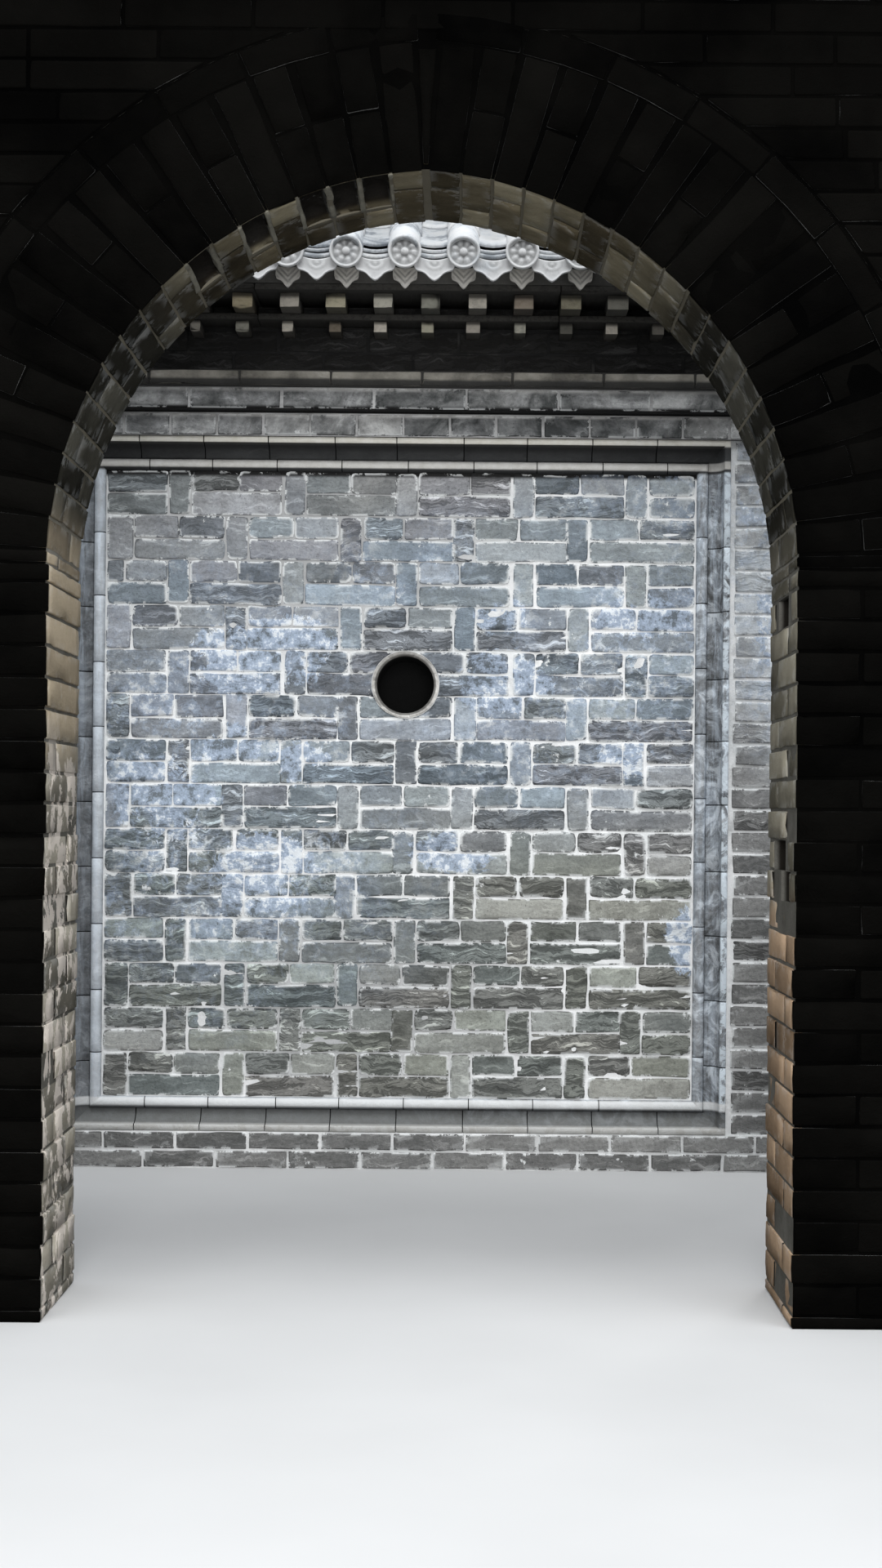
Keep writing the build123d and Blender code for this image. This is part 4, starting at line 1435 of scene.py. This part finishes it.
def cornice_joints(g, colour):
    """Painted shadow in the gap over the lower band and painted shade on the undersides, and brown joints in the upper
    band.
    """
    z = g.axes[2]
    # painted shadow in the gap under the middle band, and painted shade on the undersides
    gap = z.fall(2.574, 2.576) * z.span(*OVER_LOWER_BAND)
    colour = colour.mix(gap.most(g.facing(2).span(-0.4, -0.8)), grey(20))
    return colour.mix(z.span(2.640, 2.650), grey(58, (1.03, 1.0, 0.93)))


def wood_material(name, dark, pale, ends=()):
    """Bare weathered timber: long grain and stains, painted shade on the faces that don't look along y; ends are the
    tints of separate pieces, with painted shadow at the tops of the rafter ends.
    """
    g = Graph(name)
    tone = g.attribute("tone")
    grain = g.streaks(g.shifted, (60.0, 8.0, 80.0))
    level, tint = pale
    bright = tuple(1.15 * t for t in tint)
    colour = grain.span(0.28, 0.72).ramp((0.0, *dark), (0.5, level, tint), (1.0, level, bright))
    if ends:
        colour = colour.mix(0.55, tone.scatter(57.3).ramp(*ends))
        colour = colour.mix(1.0, tone.ramp((0.0, 128), (0.6, 255)), "MULTIPLY")
        z = g.axes[2]
        # painted shadow at the tops of the rafter ends, under the boards over them
        shade = z.span(2.902, 2.916).most(z.span(2.840, 2.852) * z.fall(2.862, 2.868))
        colour = colour.mix(shade * 0.85, grey(40, (1.05, 1.0, 0.9)))
    stain = g.noise(12.0, 5.0, 0.7).span(0.52, 0.7)
    colour = colour.mix(stain * 0.4, grey(60, (1.02, 1.0, 0.92)))
    # painted shade on every face that doesn't look along y: the sides and undersides
    side = abs(g.facing(1)).fall(0.45, 0.75)
    colour = colour.mix(side * 0.88, grey(40, (1.06, 1.0, 0.9)))
    return g.finish(colour, grain, (0.75, 0.95), grain, 0.5, 0.003)


def tile_material(name, stops):
    """Unglazed grey tile, darker where the rim value says: dirt along the dishes of the pans, painted shade in the low
    relief of the round ends and drips.
    """
    g = Graph(name)
    patch = g.noise(14.0, 5.0, 0.65, g.shifted)
    colour = (g.attribute("tone") * 0.55 + patch.span(0.3, 0.7) * 0.45).ramp(*stops)
    grime = g.noise(22.0, 6.0, 0.75).span(0.54, 0.70)
    colour = colour.mix(grime * 0.3, grey(110, (0.98, 1.0, 0.99)))
    lichen = g.noise(60.0, 3.0, 0.6).span(0.66, 0.72)
    colour = colour.mix(lichen * 0.2, grey(120, (1.0, 1.03, 0.86)))
    # rim value: dirt in the pan dishes, painted shade in the relief of the round ends and drips
    colour = colour.mix(g.attribute("rim") * 0.6, grey(84, (0.98, 1.0, 1.0)))
    grain = g.noise(150.0, 4.0, 0.7, g.shifted)
    return g.finish(colour, grain, (0.78, 0.95), grain + g.noise(40.0, 4.0, 0.6, g.shifted), 0.35, 0.002)


def clay_material(name):
    """Unglazed clay, warm grey, darker towards the top, with painted shade inside the opening, near black deeper in."""
    g = Graph(name)
    patch = g.noise(16.0, 6.0, 0.7).span(0.3, 0.7)
    colour = patch.ramp((0.0, 150, (1.03, 1.0, 0.94)), (1.0, 228, (1.02, 1.0, 0.96)))
    grain = g.noise(120.0, 5.0, 0.7)
    colour = colour.mix(0.4, grain.ramp((0.3, 100), (0.7, 210)), "OVERLAY")
    x, y, z = g.axes
    across = x - HOLE_X * MM
    up = z - HOLE_Z * MM
    # painted shade on the faces inside the opening, near black deeper in
    inside = (across * across + up * up).root().fall(0.102, 0.108)
    colour = colour.mix(inside * 0.8, grey(52, (1.05, 1.0, 0.9)))
    colour = colour.mix(up.span(0.0, 0.1, 0.0, 0.6), grey(92, (1.06, 1.0, 0.92)))
    colour = colour.mix(y.span(0.93, 0.99), grey(30))
    return g.finish(colour, grain, (0.8, 0.95), grain, 0.4, 0.003)


def socket_material(name):
    """Core wall behind the panel: mortar outside; near black inside the round socket, painted shade."""
    g = Graph(name)
    y = g.axes[1]
    grit = g.noise(120.0, 5.0, 0.75)
    mortar = g.noise(5.0, 5.0, 0.65).span(0.3, 0.7).ramp((0.0, 150), (1.0, 196))
    # painted shade: the inside of the socket near black
    inside = y.span(0.960, 0.975) * y.span(1.225, 1.215)
    colour = mortar.mix(inside, grit.ramp((0.3, 5), (0.7, 10)))
    return g.finish(colour, grit, (0.86, 0.98), grit, 0.5, 0.003)


def floor_material(name):
    """Plain pale floor; what it throws back on the walls is that of the darker ground under such a gate."""
    g = Graph(name)
    pale = g.noise(1.5, 3.0, 0.5).ramp((0.3, 206), (0.7, 211))
    rays = g.node("ShaderNodeLightPath").outputs
    seen = g.math("MAXIMUM", rays["Is Camera Ray"], rays["Is Glossy Ray"])
    g.put(g.shader.inputs["Base Color"], g.mix(seen, grey(92), pale))
    g.shader.inputs["Roughness"].default_value = 0.9
    return g.material


HOLLOW_TINT = (0.95, 1.0, 1.06)
WOOD_ENDS = (
    (0.0, 232, (1.22, 0.96, 0.84)),
    (0.3, 214, (1.20, 1.0, 0.55)),
    (0.6, 230, (1.0, 1.02, 0.84)),
    (1.0, 240, (1.10, 1.0, 0.86)),
)

# Materials that differ in their colours, from dark to pale, and in what their place adds
BRICKS = {
    "gate_brick": (
        ((0.0, 104, (1.0, 1.0, 0.96)), (0.5, 132, (1.0, 1.0, 0.97)), (1.0, 160, (1.0, 1.0, 0.97))),
        gate_region, 0.15, 0.14, True,
    ),
    "panel_brick": (
        (
            (0.1, 98, (0.98, 1.0, 1.0)),
            (0.35, 140, (0.98, 1.0, 1.02)),
            (0.65, 168, (1.0, 1.0, 0.99)),
            (0.9, 200, (0.99, 1.0, 1.01)),
        ),
        panel_region, 0.85,
    ),
    "screen_brick": (((0.0, 112, (0.98, 1.0, 1.0)), (0.5, 150), (1.0, 188, (1.0, 1.0, 0.99))), pier_region, 0.9),
    "cornice_brick": (
        ((0.0, 140, (0.96, 1.0, 1.04)), (0.5, 190, (0.98, 1.0, 1.0)), (1.0, 236, (1.0, 1.0, 0.98))),
        cornice_region, 0.5,
    ),
    "top_band_brick": (((0.0, 84, (1.04, 1.0, 0.9)), (1.0, 128, (1.04, 1.0, 0.92))), top_band_region),
    # frieze bricks near black: painted shade under the eaves
    "frieze_brick": (((0.0, 22, (1.04, 1.0, 0.92)), (1.0, 38, (1.04, 1.0, 0.92))), painted_eave_shade, 0.0, 0.14),
    "bead_brick": (
        ((0.0, 176, (0.95, 1.0, 1.05)), (1.0, 228, (0.96, 1.0, 1.04))),
        functools.partial(frame_region, left_colour=grey(236, (0.93, 1.0, 1.07))),
    ),
    "moulding_brick": (
        ((0.0, 104, HOLLOW_TINT), (0.5, 140, HOLLOW_TINT), (1.0, 182, HOLLOW_TINT)),
        functools.partial(frame_region, left_colour=grey(70, (0.94, 1.0, 1.06))),
    ),
}
MORTARS = {
    "lime_mortar": (((0.0, 214, (0.98, 1.0, 1.0)), (1.0, 246)), pier_joints, 0.3),
    "panel_mortar": (((0.0, 236, (0.98, 1.0, 1.0)), (1.0, 250)), panel_joints, 0.2),
    "gate_mortar": (((0.0, 140, (1.03, 1.0, 0.90)), (1.0, 192, (1.02, 1.0, 0.92))), gate_joints, 0.4, 0.0),
    "standing_mortar": (((0.0, 112, (1.05, 1.0, 0.80)), (1.0, 152, (1.05, 1.0, 0.82))),),
    "cornice_mortar": (((0.0, 150), (1.0, 200)), cornice_joints),
    # frieze joints near black: painted shade under the eaves
    "frieze_mortar": (((0.0, 24), (1.0, 40)),),
    "roof_bedding": (((0.0, 64, (1.03, 1.0, 0.93)), (1.0, 96, (1.03, 1.0, 0.93))),),
}
TILES = {
    # screen roof tiles: near-white greys, painted light standing in for strong sky light; the gate's tiles keep plain
    # greys
    "grey_tile": (((0.1, 150, (0.92, 1.0, 1.10)), (0.35, 220, (0.97, 1.0, 1.03)), (0.55, 226), (1.0, 233)),),
    "gate_tile": (((0.0, 112, (0.98, 1.0, 1.0)), (0.5, 144, (0.98, 1.0, 1.02)), (1.0, 172)),),
    "dark_tile": (((0.0, 172, (1.04, 1.0, 0.92)), (1.0, 232, (1.04, 1.0, 0.93))),),
    "ridge_tile": (((0.0, 132), (0.5, 162), (1.0, 190)),),
}
WOODS = {
    "weathered_wood": ((106, (1.05, 1.0, 0.88)), (168, (1.06, 0.99, 0.88)), WOOD_ENDS),
    # boards under the eaves: near-black greys, painted shade
    "dark_wood": ((36, (1.04, 1.0, 0.9)), (62, (1.05, 1.0, 0.9))),
}
MATERIALS = {"clay_ring": clay_material("clay_ring"), "core_and_socket": socket_material("core_and_socket")}
MAKERS = {brick_material: BRICKS, mortar_material: MORTARS, tile_material: TILES, wood_material: WOODS}
for make, table in MAKERS.items():
    MATERIALS.update((name, make(name, *values)) for name, values in table.items())

# CAD nodes that stay in view as mortar and cores, by their kind of material
DRESSED = {
    "gate_mortar": (
        "gate_left_pier gate_right_pier gate_arch_ring gate_arch_cap gate_left_spandrel gate_right_spandrel "
        "gate_top_wall gate_corbels"
    ),
    "roof_bedding": "gate_roof_core gate_ridge screen_roof_core screen_ridge",
    "lime_mortar": "screen_plinth screen_left_pier screen_right_pier",
    "core_and_socket": "screen_core",
    "panel_mortar": "screen_panel",
    "clay_ring": "moon_ring",
    "cornice_mortar": "cornice_lower_band cornice_middle_band cornice_upper_band",
    "frieze_mortar": "frieze_wall",
}


def dress_nodes():
    """Give the CAD nodes that stay in view their materials."""
    for kind, nodes in DRESSED.items():
        for node in nodes.split():
            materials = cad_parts[node].data.materials
            materials.clear()
            materials.append(MATERIALS[kind])


# ---------------------------------------------------------------- scene


def area(name, place, aim, size, power, tint=WHITE):
    """Soft rectangular lamp that looks at a point."""
    data = bpy.data.lights.new(name, "AREA")
    data.shape = "RECTANGLE"
    data.size, data.size_y = size
    data.energy = power
    data.color = tint
    lamp = bpy.data.objects.new(name, data)
    bpy.context.scene.collection.objects.link(lamp)
    lamp.location = place
    lamp.rotation_euler = (Vector(aim) - Vector(place)).to_track_quat("-Z", "Y").to_euler()


def studio():
    """Floor, world, lamps and camera."""
    bpy.ops.mesh.primitive_plane_add(size=60.0, location=(0, 0, 0))
    floor = bpy.context.object
    floor.name = "floor"
    floor.data.materials.append(floor_material("pale_floor"))
    world = bpy.data.worlds.new("studio")
    bpy.context.scene.world = world
    world.use_nodes = True
    tree = world.node_tree
    light = tree.nodes["Background"]
    plain = tree.nodes.new("ShaderNodeBackground")
    for back, colour, strength in ((light, (0.93, 0.96, 1.0, 1.0), 0.6), (plain, (0.93, 0.94, 0.95, 1.0), 1.0)):
        back.inputs["Color"].default_value = colour
        back.inputs["Strength"].default_value = strength
    mix = tree.nodes.new("ShaderNodeMixShader")
    path = tree.nodes.new("ShaderNodeLightPath")
    tree.links.new(path.outputs["Is Camera Ray"], mix.inputs[0])
    tree.links.new(light.outputs[0], mix.inputs[1])
    tree.links.new(plain.outputs[0], mix.inputs[2])
    tree.links.new(mix.outputs[0], tree.nodes["World Output"].inputs["Surface"])
    area("court_sky", (0.6, -4.38, 12.25), (-0.1, 0.7, 1.4), (8.75, 5.25), 1085.0, (0.96, 0.985, 1.0))
    area("front_fill", (0.3, -9.2, 2.0), (-0.05, 0.9, 1.6), (3.0, 3.0), 530.0)
    area("back_fill", (2.5, 6.5, 5.0), (0.0, 1.2, 1.6), (4.0, 3.0), 300.0)
    data = bpy.data.cameras.new("camera")
    data.lens = 52.256
    data.sensor_width = 36.0
    data.shift_x = -25.5 / 1920.0
    data.shift_y = 40.0 / 1920.0
    camera = bpy.data.objects.new("camera", data)
    camera.location = (0.098, GATE_Y * MM - 5.36, 1.2)
    camera.rotation_euler = (math.pi / 2, math.radians(-0.5), 0.0)
    bpy.context.scene.collection.objects.link(camera)
    bpy.context.scene.camera = camera
    bpy.context.scene.view_settings.view_transform = "Standard"


dress_nodes()
gate_walls()
gate_ring()
gate_corbels()
panel()
screen_walls()
cornice()
plinth()
frame_mouldings()
clay_ring()
timber()
tiled_roof("gate", 0.0, 1760.0, GATE_Y, 130.0, GATE_PAN, 9, 120.0)
tiled_roof("screen", ROOF_X, 1600.0, SCREEN_Y, 300.0, SCREEN_PAN, 8, 150.0, LOWER_TIPS)
studio()
